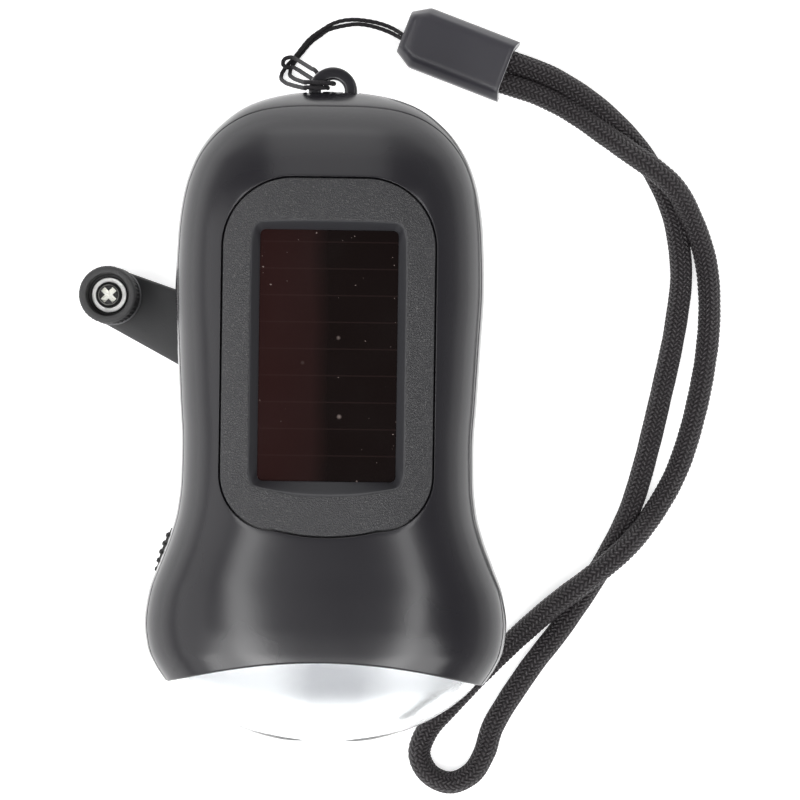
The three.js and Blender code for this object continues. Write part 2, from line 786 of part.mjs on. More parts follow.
function makeHubScrew() {
  const foot = shaftTopZ - HUB_SCREW_GRIP + GAP;
  const seat = shaftTopZ + GAP;
  return turned([
    [0, foot],
    [HUB_SCREW_R, foot],
    [HUB_SCREW_R, seat],
    [HUB_SCREW_HEAD_R, seat],
    [HUB_SCREW_HEAD_R, seat + HUB_SCREW_HEAD],
    [0, seat + HUB_SCREW_HEAD],
  ], 0, 0, 16);
}

function makeArm() {
  const root = ARM_ROOT_WIDTH / 2;
  const end = ARM_END_WIDTH / 2;
  const shape = new THREE.Shape();
  shape.moveTo(-ARM_BACK, -root);
  shape.lineTo(0, -root);
  shape.lineTo(CRANK_RADIUS, -end);
  shape.absarc(CRANK_RADIUS, 0, end, -Math.PI / 2, Math.PI / 2, false);
  shape.lineTo(0, root);
  shape.lineTo(-ARM_BACK, root);
  shape.closePath();
  const screwFoot = ARM_THICK - KNOB_SCREW_GRIP - GAP;
  const arm = prism(shape, 0, ARM_THICK, 8)
    .subtract(alongY(HINGE_R + GAP, 0, -root - CUT, root + CUT, hingeZ, 12))
    .subtract(disc(SCREW_SHANK_R + GAP, CRANK_RADIUS, 0, screwFoot, ARM_THICK + CUT, 12));
  return alongArm(arm);
}

function makeKnob() {
  const top = knobZ + KNOB_HEIGHT;
  return turned([
    [0, knobZ],
    [KNOB_R - KNOB_EDGE, knobZ],
    [KNOB_R, knobZ + KNOB_EDGE],
    [KNOB_R, top - KNOB_EDGE],
    [KNOB_R - KNOB_EDGE, top],
    [0, top],
  ], knobX, knobY, 32)
    .subtract(disc(KNOB_BORE_R, knobX, knobY, knobZ - CUT, top, 16))
    .subtract(disc(COUNTERBORE_R, knobX, knobY, top - COUNTERBORE, top + CUT, 24));
}

const washerZ = knobZ + KNOB_HEIGHT - COUNTERBORE + GAP;
const knobHeadZ = washerZ + WASHER_THICK + GAP;

function makeWasher() {
  return disc(WASHER_R, knobX, knobY, washerZ, washerZ + WASHER_THICK)
    .subtract(disc(SCREW_SHANK_R + GAP, knobX, knobY, washerZ - CUT, washerZ + CUT, 12));
}

function makeKnobScrew() {
  const foot = ARM_THICK - KNOB_SCREW_GRIP;
  return turned([
    [0, foot],
    [SCREW_SHANK_R, foot],
    [SCREW_SHANK_R, knobHeadZ],
    [KNOB_SCREW_HEAD_R, knobHeadZ],
    [KNOB_SCREW_HEAD_R, knobHeadZ + KNOB_SCREW_HEAD * 0.7],
    [KNOB_SCREW_HEAD_R * 0.75, knobHeadZ + KNOB_SCREW_HEAD],
    [0, knobHeadZ + KNOB_SCREW_HEAD],
  ], knobX, knobY, 16);
}

// Gear train

function involute(angle) {
  return Math.tan(angle) - angle;
}

// A toothed outline whose first tooth points at the given bearing
function gearSolid(teeth, module, bearing, x, y, lowZ, highZ) {
  const pitchR = (module * teeth) / 2;
  const baseR = pitchR * Math.cos(PRESSURE_ANGLE);
  const tipR = pitchR + ADDENDUM_RATIO * module;
  const rootR = pitchR - DEDENDUM_RATIO * module;
  const pitchHalf = (Math.PI * module / 2 - BACKLASH / 2) / (2 * pitchR);
  const halfAngle = (r) => {
    const flank = Math.acos(Math.min(1, baseR / Math.max(r, baseR)));
    return pitchHalf + involute(PRESSURE_ANGLE) - involute(flank);
  };
  const radii = [rootR, pitchR, tipR];
  const points = [];
  for (let i = 0; i < teeth; i += 1) {
    const middle = bearing + (i / teeth) * Math.PI * 2;
    const flank = (r, side) => {
      const angle = middle + side * halfAngle(r);
      points.push(new THREE.Vector2(x + r * Math.cos(angle), y + r * Math.sin(angle)));
    };
    radii.forEach((r) => flank(r, -1));
    [...radii].reverse().forEach((r) => flank(r, 1));
  }
  return prism(new THREE.Shape(points), lowZ, highZ);
}

// Bearing of the first tooth of a gear that meshes with another one placed on the line to it
function meshBearing(line, teeth, otherTeeth, otherBearing) {
  const other = ((line - otherBearing) * otherTeeth) / (Math.PI * 2);
  return line + Math.PI - ((0.5 - other) * Math.PI * 2) / teeth;
}

const firstReach = FIRST_MODULE * (DRIVE_TEETH + PINION_TEETH) / 2;
const secondReach = NEXT_MODULE * (SECOND_TEETH + PINION_TEETH) / 2;
const thirdReach = NEXT_MODULE * (THIRD_TEETH + PINION_TEETH) / 2;
const second = {
  x: firstReach * Math.cos(SECOND_BEARING),
  y: firstReach * Math.sin(SECOND_BEARING),
};
const third = {
  x: second.x + secondReach * Math.cos(THIRD_BEARING),
  y: second.y + secondReach * Math.sin(THIRD_BEARING),
};
const rotor = {
  x: third.x + thirdReach * Math.cos(ROTOR_BEARING),
  y: third.y + thirdReach * Math.sin(ROTOR_BEARING),
};

function makeDriveGear() {
  return gearSolid(DRIVE_TEETH, FIRST_MODULE, 0, 0, 0, firstZ, firstZ + GEAR_THICK)
    .subtract(disc(SHAFT_R + GAP, 0, 0, firstZ - CUT, firstZ + GEAR_THICK + CUT));
}

function compoundGear(place, pinionModule, pinionBearing, teeth, wheelBearing, lowZ, wheelZ) {
  return gearSolid(PINION_TEETH, pinionModule, pinionBearing, place.x, place.y, lowZ, wheelZ + GAP)
    .add(gearSolid(teeth, NEXT_MODULE, wheelBearing, place.x, place.y, wheelZ, wheelZ + GEAR_THICK))
    .subtract(disc(AXLE_R + RUN, place.x, place.y, lowZ - CUT, wheelZ + GEAR_THICK + CUT, 16));
}

const secondPinionBearing = meshBearing(SECOND_BEARING, PINION_TEETH, DRIVE_TEETH, 0);
const thirdPinionBearing = meshBearing(THIRD_BEARING, PINION_TEETH, SECOND_TEETH, 0);
const rotorPinionBearing = meshBearing(ROTOR_BEARING, PINION_TEETH, THIRD_TEETH, 0);

function makeSecondGear() {
  return compoundGear(second, FIRST_MODULE, secondPinionBearing, SECOND_TEETH, 0, firstZ, secondZ);
}

function makeThirdGear() {
  return compoundGear(third, NEXT_MODULE, thirdPinionBearing, THIRD_TEETH, 0, secondZ, thirdZ);
}

const plateTopZ = plateZ + PLATE_THICK;
const magnetZ = plateTopZ + GAP * 2;

function makeRotorPinion() {
  const top = magnetZ + MAGNET_HEIGHT + ROTOR_SHAFT_TOP;
  return gearSolid(
    PINION_TEETH,
    NEXT_MODULE,
    rotorPinionBearing,
    rotor.x,
    rotor.y,
    thirdZ,
    plateZ - GAP,
  ).add(disc(AXLE_R, rotor.x, rotor.y, thirdZ, top, 16));
}

function makeMagnet() {
  return disc(MAGNET_R, rotor.x, rotor.y, magnetZ, magnetZ + MAGNET_HEIGHT)
    .subtract(disc(AXLE_R + GAP, rotor.x, rotor.y, magnetZ - CUT, magnetZ + MAGNET_HEIGHT + CUT, 16));
}

function makeCoil() {
  const foot = plateTopZ + GAP;
  return disc(COIL_R, rotor.x, rotor.y, foot, foot + COIL_HEIGHT)
    .subtract(disc(COIL_BORE_R, rotor.x, rotor.y, foot - CUT, foot + COIL_HEIGHT + CUT));
}

function makeAxle(place, lowZ) {
  return disc(AXLE_R, place.x, place.y, lowZ, plateTopZ, 16);
}

function makeGearboxPlate() {
  const outline = roundedOutline(PLATE_HALF_WIDTH, PLATE_LOW_Y, PLATE_TOP_Y, PLATE_CORNER_R);
  let plate = prism(outline, plateZ, plateTopZ, 3);
  [second, third, rotor].forEach(({ x, y }) => {
    plate = plate.subtract(disc(AXLE_R + GAP, x, y, plateZ - CUT, plateTopZ + CUT, 16));
  });
  POST_PLACES.forEach(({ x, y }) => {
    plate = plate.subtract(disc(PLATE_SCREW_R + GAP, x, y, plateZ - CUT, plateTopZ + CUT, 12));
  });
  return plate;
}

function makePlateScrew({ x, y }) {
  const foot = plateZ - PLATE_SCREW_GRIP + GAP;
  const seat = plateTopZ + GAP;
  return turned([
    [0, foot],
    [PLATE_SCREW_R, foot],
    [PLATE_SCREW_R, seat],
    [PLATE_SCREW_HEAD_R, seat],
    [PLATE_SCREW_HEAD_R, seat + PLATE_SCREW_HEAD],
    [0, seat + PLATE_SCREW_HEAD],
  ], x, y, 12);
}

// Switch

// Pieces of the switch are made at the wall's face with +X along it and +Y into the casing
function atSwitch(solid) {
  return solid
    .rotate([0, 0, THREE.MathUtils.radToDeg(SWITCH_ANGLE)])
    .translate([-sizesAt(SWITCH_Y)[0], SWITCH_Y, SWITCH_Z]);
}

function switchBox(lowX, highX, lowY, highY, halfZ) {
  return block(
    new THREE.Vector3(lowX, lowY, -halfZ),
    new THREE.Vector3(highX, highY, halfZ),
  );
}

function switchSlot() {
  const half = SWITCH_LENGTH / 2 + GAP;
  return atSwitch(switchBox(
    -half,
    half + SWITCH_TRAVEL,
    -CUT,
    SWITCH_SEAT + GAP,
    SWITCH_HEIGHT / 2 + GAP,
  ));
}

function makeSlider() {
  const half = SWITCH_LENGTH / 2;
  const lap = SWITCH_FLANGE_LAP;
  let slider = switchBox(-half, half, -SWITCH_PROUD, SWITCH_SEAT + GAP, SWITCH_HEIGHT / 2).add(
    switchBox(
      -half - lap,
      half + lap,
      SWITCH_SEAT,
      SWITCH_SEAT + SWITCH_FLANGE,
      SWITCH_HEIGHT / 2 + lap,
    ),
  );
  for (let i = 0; i < SWITCH_RIDGES; i += 1) {
    const middle = -half + (i + 0.5) * (SWITCH_LENGTH / SWITCH_RIDGES);
    slider = slider.add(switchBox(
      middle - RIDGE_WIDTH / 2,
      middle + RIDGE_WIDTH / 2,
      -SWITCH_PROUD - RIDGE_HEIGHT,
      0,
      SWITCH_HEIGHT / 2,
    ));
  }
  return atSwitch(slider);
}

function switchBodyRoom(grow) {
  const front = SWITCH_SEAT + SWITCH_FLANGE + GAP;
  return atSwitch(switchBox(
    -SWITCH_BODY_AFT - grow,
    SWITCH_BODY_FORE + grow,
    front - grow,
    front + SWITCH_BODY_DEPTH + grow,
    SWITCH_HEIGHT / 2 + SWITCH_FLANGE_LAP + grow,
  ));
}

// Cells and boards

const cellMiddleZ = EQUATOR_Z + CELL_RISE;
const cellsTopY = CELLS_LOW_Y + CELL_COUNT * CELL_LENGTH + (CELL_COUNT - 1) * GAP;

function makeCell(index) {
  const lowY = CELLS_LOW_Y + index * (CELL_LENGTH + GAP);
  return alongY(CELL_R, 0, lowY, lowY + CELL_LENGTH, cellMiddleZ, 24);
}

function makeHolder() {
  const room = bodySolid(WALL + GAP).add(bulgeSolid(WALL + GAP));
  const lowY = CELLS_LOW_Y;
  const highY = cellsTopY + HOLDER_END;
  const cradle = block(
    new THREE.Vector3(-HOLDER_HALF_WIDTH, lowY, HOLDER_LOW_Z),
    new THREE.Vector3(HOLDER_HALF_WIDTH, highY, cellMiddleZ),
  );
  const foot = block(
    new THREE.Vector3(-HOLDER_FOOT_HALF_WIDTH, FOOT_LOW_Y, PAD_Z),
    new THREE.Vector3(HOLDER_FOOT_HALF_WIDTH, highY, HOLDER_LOW_Z + GAP),
  );
  return cradle
    .add(foot)
    .intersect(room)
    .subtract(alongY(CELL_R + GAP, 0, lowY - CUT, cellsTopY + GAP, cellMiddleZ, 24));
}

function makeMainBoard() {
  return block(
    new THREE.Vector3(-MAIN_BOARD_HALF_WIDTH, MAIN_BOARD_LOW_Y, boardZ),
    new THREE.Vector3(MAIN_BOARD_HALF_WIDTH, MAIN_BOARD_TOP_Y, boardZ + BOARD_THICK),
  );
}

function makeSolarPanel() {
  const outline = roundedOutline(cellHalfWidth, cellLowY, cellTopY, RECESS_R);
  return prism(outline, cellZ, cellZ + CELL_THICK, 3);
}

function makeSolarPad() {
  const outline = roundedOutline(cellHalfWidth, cellLowY, cellTopY, RECESS_R);
  return prism(outline, padZ, padZ + PAD_THICK, 3);
}

function makeCaseScrew({ x, y }) {
  const seat = screwSeatZ(x, y) + GAP;
  const tip = seamZ + CASE_SCREW_DEPTH - GAP;
  return turned([
    [0, seat - CASE_SCREW_HEAD],
    [CASE_SCREW_HEAD_R, seat - CASE_SCREW_HEAD],
    [CASE_SCREW_HEAD_R, seat - GAP * 2],
    [CASE_SCREW_R, seat - GAP * 2],
    [CASE_SCREW_R, tip],
    [0, tip],
  ], x, y, 12);
}

// Lanyard

// The tail's half-ring eye with its two legs and foot bar; grown, it is the pocket for them
function eyeletShape(grow) {
  const outer = EYELET_R + grow;
  const inner = EYELET_HOLE_R - grow;
  const footY = TAIL_Y - EYELET_ROOT;
  const shape = new THREE.Shape();
  shape.moveTo(-outer, footY - grow);
  shape.lineTo(outer, footY - grow);
  shape.lineTo(outer, TAIL_Y);
  shape.absarc(0, TAIL_Y, outer, 0, Math.PI, false);
  shape.closePath();
  const hole = new THREE.Path();
  const holeLow = footY + WALL / 2 + grow;
  hole.moveTo(-inner, holeLow);
  hole.lineTo(-inner, TAIL_Y);
  hole.absarc(0, TAIL_Y, inner, Math.PI, 0, true);
  hole.lineTo(inner, holeLow);
  hole.closePath();
  shape.holes.push(hole);
  return prism(shape, EQUATOR_Z - EYELET_THICK / 2 - grow, EQUATOR_Z + EYELET_THICK / 2 + grow, 6);
}

function makeSleeve() {
  const half = SLEEVE_LENGTH / 2;
  const ring = (x, shrink, side, up) => {
    const points = [];
    for (let j = 0; j < SECTION_POINTS / 2; j += 1) {
      const angle = ((j + 0.5) / SECTION_POINTS) * Math.PI * 4;
      const c = Math.sign(Math.cos(angle)) * Math.abs(Math.cos(angle)) ** 0.6;
      const s = Math.sign(Math.sin(angle)) * Math.abs(Math.sin(angle)) ** 0.6;
      points.push(new THREE.Vector3(x, c * (side - shrink), s * (up - shrink) + SLEEVE_HEIGHT / 2));
    }
    return points;
  };
  const wide = SLEEVE_WIDTH / 2;
  const high = SLEEVE_HEIGHT / 2;
  const nose = wide - SLEEVE_CHAMFER;
  const outside = ringSolid(
    new THREE.Vector3(-half, 0, high),
    [
      ring(-half, 0, nose, high - SLEEVE_EDGE / 2),
      ring(-half + SLEEVE_CHAMFER, 0, wide, high),
      ring(half, 0, wide, high),
    ],
    new THREE.Vector3(half, 0, high),
  );
  const pocket = ringSolid(
    new THREE.Vector3(half - SLEEVE_POCKET, 0, high),
    [
      ring(half - SLEEVE_POCKET, SLEEVE_WALL, wide, high),
      ring(half + CUT, SLEEVE_WALL, wide, high),
    ],
    new THREE.Vector3(half + CUT, 0, high),
  );
  return outside
    .subtract(pocket)
    .rotate([0, 0, THREE.MathUtils.radToDeg(SLEEVE_ANGLE)])
    .translate([SLEEVE_X, SLEEVE_Y, 0]);
}

// Route of the thin cord: out of the sleeve, through its own noose, up round the eyelet, down
// as the noose and up round the eyelet again, then back beside itself
const THIN_ROUTE = [
  [12, 64.7, 2.8],
  [9.7, 65.7, 1.7],
  [5.7, 66.9, 0.5],
  [2.3, 67.3, 0.45],
  [-0.9, 66.5, 0.45],
  [-4.3, 64.5, 0.45],
  [-6.5, 62.4, 0.45],
  [-8.2, 59.9, 0.45],
  [-9.8, 57.8, 0.5],
  [-10.1, 56.5, 1.8],
  [-8.5, 55.3, 8],
  [-5.2, 54.6, 18],
  [-2.4, 54.7, 26],
  [-0.9, 53.2, 28.2],
  [-0.6, 52.2, 31.2],
  [-0.6, 54.1, 33.8],
  [-0.8, 56.6, 31.6],
  [-2.2, 57, 26],
  [-5.3, 58, 16],
  [-8.1, 59, 6],
  [-9.3, 59.7, 1.8],
  [-9.1, 60.7, 1],
  [-8.1, 61.3, 1.3],
  [-6.9, 60.8, 1.45],
  [-6, 59.8, 1.3],
  [-5.8, 59.1, 2.4],
  [-5, 58.5, 7],
  [-3.1, 57.7, 16],
  [-0.4, 56.9, 26],
  [0.5, 56.6, 31.6],
  [0.5, 54.1, 33.8],
  [0.5, 52.2, 31.2],
  [0.2, 53.2, 28.2],
  [-0.6, 54.8, 24],
  [-4.1, 55.5, 13],
  [-7.2, 56.5, 4],
  [-8.2, 57.6, 0.8],
  [-7.4, 59.3, 0.45],
  [-5.7, 61.7, 0.45],
  [-3.8, 63.4, 0.45],
  [-0.6, 65.1, 0.45],
  [2.4, 66, 0.45],
  [5.3, 65.9, 0.5],
  [9.3, 64.7, 1.7],
  [11.6, 63.7, 2.8],
];

// Route of the wrist cord: one loop from the sleeve's open end back into it, which passes
// over itself twice
const WRIST_ROUTE = [
  [26.3, 61.1, 2.8],
  [31.2, 59.3, 2.9],
  [39, 56.8, 2],
  [46.3, 52.2, 1.95],
  [52.4, 46.5, 1.95],
  [56.8, 40.1, 1.95],
  [60.1, 32.8, 1.95],
  [61.7, 22.9, 1.95],
  [61, 14.4, 1.95],
  [59, 3.5, 1.95],
  [53.3, -19.3, 1.95],
  [48.2, -29.8, 1.95],
  [41.6, -40.2, 1.95],
  [35.6, -48.3, 1.95],
  [29.4, -58.4, 1.95],
  [27.9, -63.2, 1.95],
  [25.7, -66.8, 1.95],
  [22, -68.5, 1.95],
  [18.3, -67.1, 1.95],
  [16.4, -63.6, 1.95],
  [17.6, -59.6, 1.95],
  [22.2, -54.1, 1.95],
  [29.1, -46.8, 1.95],
  [34.9, -41.2, 2.3],
  [40.6, -36, 4.1],
  [45.4, -32.2, 5.6],
  [49.4, -28.9, 5.85],
  [53.3, -25.2, 5.2],
  [57.1, -20.4, 2.9],
  [61.4, -12.6, 1.95],
  [65, -0.1, 1.95],
  [66.8, 13.9, 1.95],
  [66, 24.9, 2.1],
  [62.9, 32.9, 4],
  [60.4, 37.1, 5.3],
  [56.9, 40.2, 5.85],
  [52.7, 43, 5.3],
  [48.4, 46, 4],
  [40.8, 50.8, 2.1],
  [29.8, 55.5, 2.9],
  [25.1, 57.3, 2.8],
];
const THIN_STEPS = 70;
const WRIST_STEPS = 38;

function makeCord(route, diameter, steps) {
  const curve = new THREE.CatmullRomCurve3(route.map((p) => new THREE.Vector3(...p)));
  const points = [];
  for (let j = 0; j < CORD_SIDES; j += 1) {
    const angle = (j / CORD_SIDES) * Math.PI * 2;
    points.push(new THREE.Vector2(diameter / 2 * Math.cos(angle), diameter / 2 * Math.sin(angle)));
  }
  return toManifold(new THREE.ExtrudeGeometry(new THREE.Shape(points), {
    steps,
    extrudePath: curve,
  }));
}

// Materials

const blackPlastic = finish(0x101012, 0.38);
const grainedPlastic = finish(0x17171a, 0.55);
const solarGlass = finish(0x2a1a1a, 0.2);
const foam = finish(0x2b2b2b, 0.9);
const clearPlastic = finish(0xe6ecef, 0.05);
const silverFilm = finish(0xc9cccf, 0.2, 1);
const lampPlastic = finish(0xeef3f5, 0.1);
const boardGreen = finish(0x1f5a35, 0.5);
const steel = finish(0xb8babd, 0.3, 1);
const blackSteel = finish(0x1a1a1c, 0.35, 1);
const whitePlastic = finish(0xdedcd2, 0.45);
const copper = finish(0xa85a2a, 0.35, 1);
const magnetGrey = finish(0x4a4a4e, 0.4, 1);
const cordBlack = finish(0x0c0c0d, 0.8);

// Assembly

function makeCasing() {
  const casing = new THREE.Group();
  const skin = bodySolid(0).add(bulgeSolid(0));
  const inside = bodySolid(WALL).add(bulgeSolid(WALL));
  add(casing, 'front_shell', makeFrontShell(skin, inside), blackPlastic);
  add(casing, 'back_shell', makeBackShell(skin, inside), blackPlastic);
  add(casing, 'bezel', makeBezel(skin), grainedPlastic);
  add(casing, 'solar_panel', makeSolarPanel(), solarGlass);
  add(casing, 'solar_pad', makeSolarPad(), foam);
  SCREW_PLACES.forEach((place, i) => {
    add(casing, `case_screw_${i + 1}`, makeCaseScrew(place), blackSteel);
  });
  return casing;
}

function makeLamp() {
  const lamp = new THREE.Group();
  add(lamp, 'lens', makeLens(), clearPlastic);
  add(lamp, 'reflector', makeReflector(), silverFilm);
  ledPlaces().forEach((x, i) => {
    add(lamp, `led_${i + 1}`, makeLed(x), lampPlastic);
  });
  add(lamp, 'led_board', makeLedBoard(), boardGreen);
  return lamp;
}

function makeCrank() {
  const crank = new THREE.Group();
  add(crank, 'crank_hub', makeHub(), blackPlastic);
  add(crank, 'hinge_pin', makeHingePin(), steel);
  add(crank, 'hub_screw', makeHubScrew(), steel);
  add(crank, 'crank_arm', makeArm(), blackPlastic);
  add(crank, 'knob', makeKnob(), blackPlastic);
  add(crank, 'knob_washer', makeWasher(), steel);
  add(crank, 'knob_screw', makeKnobScrew(), blackSteel);
  return crank;
}

function makeGearbox() {
  const gearbox = new THREE.Group();
  add(gearbox, 'drive_gear', makeDriveGear(), whitePlastic);
  add(gearbox, 'second_gear', makeSecondGear(), whitePlastic);
  add(gearbox, 'third_gear', makeThirdGear(), whitePlastic);
  add(gearbox, 'second_axle', makeAxle(second, PAD_Z + WALL + GAP), steel);
  add(gearbox, 'third_axle', makeAxle(third, secondZ), steel);
  add(gearbox, 'rotor_pinion', makeRotorPinion(), steel);
  add(gearbox, 'rotor_magnet', makeMagnet(), magnetGrey);
  add(gearbox, 'stator_coil', makeCoil(), copper);
  add(gearbox, 'gearbox_plate', makeGearboxPlate(), steel);
  POST_PLACES.forEach((place, i) => {
    add(gearbox, `plate_screw_${i + 1}`, makePlateScrew(place), steel);
  });
  return gearbox;
}

function makeElectrics() {
  const electrics = new THREE.Group();
  for (let i = 0; i < CELL_COUNT; i += 1) {
    add(electrics, `cell_${i + 1}`, makeCell(i), steel);
  }
  add(electrics, 'cell_holder', makeHolder(), blackPlastic);
  add(electrics, 'main_board', makeMainBoard(), boardGreen);
  add(electrics, 'switch_slider', makeSlider(), blackPlastic);
  add(electrics, 'switch_body', switchBodyRoom(0), blackPlastic);
  return electrics;
}

function makeLanyard() {
  const lanyard = new THREE.Group();
  add(lanyard, 'lanyard_eyelet', eyeletShape(0), blackPlastic);
  add(lanyard, 'thin_cord', makeCord(THIN_ROUTE, THIN_CORD, THIN_STEPS), cordBlack);
  add(lanyard, 'cord_sleeve', makeSleeve(), blackPlastic);
  add(lanyard, 'wrist_cord', makeCord(WRIST_ROUTE, WRIST_CORD, WRIST_STEPS), cordBlack);
  return lanyard;
}

const flashlight = new THREE.Group();
flashlight.add(makeCasing(), makeLamp(), makeCrank(), makeGearbox(), makeElectrics(), makeLanyard());

export default flashlight;
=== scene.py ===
"""Looks of the hand crank flashlight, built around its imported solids. Sizes are in millimetres
until a mesh is made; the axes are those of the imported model."""

import math

import bmesh
import bpy
import numpy as np
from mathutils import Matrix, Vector


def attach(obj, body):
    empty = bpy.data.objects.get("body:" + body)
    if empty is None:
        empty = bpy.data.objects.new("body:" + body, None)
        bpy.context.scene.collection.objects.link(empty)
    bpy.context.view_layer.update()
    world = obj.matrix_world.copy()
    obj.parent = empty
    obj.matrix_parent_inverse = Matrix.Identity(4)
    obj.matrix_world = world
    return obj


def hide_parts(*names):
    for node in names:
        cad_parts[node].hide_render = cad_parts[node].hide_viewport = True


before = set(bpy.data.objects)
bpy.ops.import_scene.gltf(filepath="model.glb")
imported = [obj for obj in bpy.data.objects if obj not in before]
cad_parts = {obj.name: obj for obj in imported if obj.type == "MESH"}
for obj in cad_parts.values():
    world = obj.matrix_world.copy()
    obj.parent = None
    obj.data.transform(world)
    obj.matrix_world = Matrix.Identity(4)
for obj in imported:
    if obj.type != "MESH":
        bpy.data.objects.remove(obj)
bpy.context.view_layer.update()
MM = 0.001

# Clearance between pieces, angle above which an edge stays sharp, and the distances below which
# points join and edges vanish
GAP = 0.3
SHARP = 35
JOIN_DISTANCE = 0.002
SLIVER = 0.001


def linked(name, data):
    """A new object in the scene."""
    obj = bpy.data.objects.new(name, data)
    bpy.context.scene.collection.objects.link(obj)
    return obj


# Camera: straight above, with the small turn that the flashlight has in the picture
CAMERA_PLACE = (12.08, -0.68, 629)
CAMERA_TURN = math.radians(0.8)
FOCAL_LENGTH = 158.8
SENSOR = 36
NEAREST, FARTHEST = 0.01, 10

camera_data = bpy.data.cameras.new("camera")
camera_data.sensor_width = SENSOR
camera_data.lens = FOCAL_LENGTH
camera_data.clip_start = NEAREST
camera_data.clip_end = FARTHEST
camera = linked("camera", camera_data)
camera.location = [c * MM for c in CAMERA_PLACE]
camera.rotation_euler = (0, 0, CAMERA_TURN)
bpy.context.scene.camera = camera
bpy.context.scene.view_settings.view_transform = "Standard"


# Meshes


def make_object(name, points, faces, sharp=SHARP):
    """A smooth-shaded object with sharp edges above an angle; points in millimetres."""
    mesh = bpy.data.meshes.new(name)
    mesh.from_pydata((np.asarray(points, float) * MM).tolist(), [], faces)
    obj = linked(name, mesh)
    clean(obj, sharp)
    return obj


def shade(mesh, sharp):
    """Smooth shading with sharp edges above an angle."""
    mesh.shade_smooth()
    mesh.set_sharp_from_angle(angle=math.radians(sharp))


def clean(obj, sharp=SHARP):
    """Joins doubled points, points every face outward and sets the smooth shading."""
    bm = bmesh.new()
    bm.from_mesh(obj.data)
    bmesh.ops.remove_doubles(bm, verts=bm.verts, dist=JOIN_DISTANCE * MM)
    bmesh.ops.dissolve_degenerate(bm, edges=bm.edges, dist=SLIVER * MM)
    bmesh.ops.recalc_face_normals(bm, faces=bm.faces)
    bm.to_mesh(obj.data)
    bm.free()
    shade(obj.data, sharp)


def grid_faces(rows, count, start=0, loop=False, wrap=True):
    """Quads between rows of `count` points; loop joins the last row to the first."""
    faces = []
    for i in range(rows if loop else rows - 1):
        k = (i + 1) % rows
        for j in range(count if wrap else count - 1):
            n = (j + 1) % count
            faces.append((
                start + i * count + j,
                start + i * count + n,
                start + k * count + n,
                start + k * count + j,
            ))
    return faces


def ring_object(name, rings, loop=False, caps=True, sharp=SHARP):
    """A skin over rings of equal length, closed round each ring and capped or looped."""
    rings = np.asarray(rings, float)
    rows, count = rings.shape[:2]
    faces = grid_faces(rows, count, loop=loop)
    if caps and not loop:
        faces.append(tuple(range(count)))
        faces.append(tuple(range((rows - 1) * count, rows * count)))
    return make_object(name, rings.reshape(-1, 3), faces, sharp)


def unit(v):
    v = np.asarray(v, float)
    return v / np.maximum(np.linalg.norm(v, axis=-1, keepdims=True), 1e-12)


def turns(count):
    """Evenly spaced angles round a full turn."""
    return np.linspace(0, 2 * np.pi, count, endpoint=False)


def bow(t, a, corner, b):
    """A place on the curve from a to b that is drawn toward a corner."""
    return (1 - t) ** 2 * a + 2 * t * (1 - t) * corner + t * t * b


def hermite(t, a, slope_a, b, slope_b, width=1):
    """A place on the cubic from a to b that leaves and meets them at the given slopes."""
    return (
        (2 * t**3 - 3 * t**2 + 1) * a + (t**3 - 2 * t**2 + t) * width * slope_a
        + (-2 * t**3 + 3 * t**2) * b + (t**3 - t**2) * width * slope_b
    )


def lathe(name, profile, place, axis="z", steps=64, sharp=SHARP):
    """A turned solid: the profile holds (radius, height) pairs."""
    angles = turns(steps)
    rings = []
    for radius, height in profile:
        c, s = radius * np.cos(angles), radius * np.sin(angles)
        flat = np.full(steps, height)
        rings.append(np.stack([c, s, flat] if axis == "z" else [c, flat, s], -1))
    return ring_object(name, np.array(rings) + np.array(place, float), sharp=sharp)


def rounded_profile(profile, radius, steps=4):
    """The profile with each inner corner rounded, as (radius, height) pairs."""
    p = [np.array(q, float) for q in profile]
    out = [p[0]]
    for a, b, c in zip(p, p[1:], p[2:]):
        r = min(radius, np.linalg.norm(b - a) * 0.45, np.linalg.norm(c - b) * 0.45)
        start, end = b + unit(a - b) * r, b + unit(c - b) * r
        out += [bow(i / steps, start, b, end) for i in range(steps + 1)]
    out.append(p[-1])
    return out


def applied(obj, kind, **settings):
    """The object with one modifier applied."""
    modifier = obj.modifiers.new(kind.lower(), kind)
    for key, value in settings.items():
        setattr(modifier, key, value)
    bpy.context.view_layer.update()
    done = bpy.data.meshes.new_from_object(
        obj.evaluated_get(bpy.context.evaluated_depsgraph_get())
    )
    obj.modifiers.clear()
    obj.data = done
    return obj


def cut(obj, *tools, operation="DIFFERENCE"):
    """Cuts tools out of an object, or joins them to it, and uses them up."""
    for tool in tools:
        applied(obj, "BOOLEAN", object=tool, operation=operation, solver="EXACT")
        bpy.data.objects.remove(tool)
    return obj


def rod(name, radius, low, high, x=0, y=0, steps=48):
    """An upright cylinder."""
    return lathe(name, [(radius, low), (radius, high)], (x, y, 0), steps=steps)


def box_object(name, low, high):
    x0, y0, z0 = low
    x1, y1, z1 = high
    plan = [(x0, y0), (x1, y0), (x1, y1), (x0, y1)]
    return ring_object(name, [[(x, y, z) for x, y in plan] for z in (z0, z1)])


def moved(obj, angle, place=(0, 0, 0)):
    """Turns a mesh about Z and then moves it to a place."""
    c, s = math.cos(angle), math.sin(angle)
    px, py, pz = (p * MM for p in place)
    for v in obj.data.vertices:
        x, y, z = v.co
        v.co = (x * c - y * s + px, x * s + y * c + py, z + pz)
    return obj


def dress(obj, body, material, nodes=()):
    """Puts an object on its body with its material, in place of CAD nodes."""
    obj.data.materials.clear()
    obj.data.materials.append(material)
    if nodes:
        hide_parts(*nodes)
    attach(obj, body)
    return obj


def also(obj, material, test):
    """Gives one more material to the faces whose middles pass a test, in millimetres."""
    obj.data.materials.append(material)
    for face in obj.data.polygons:
        if test(*(c / MM for c in face.center)):
            face.material_index = len(obj.data.materials) - 1


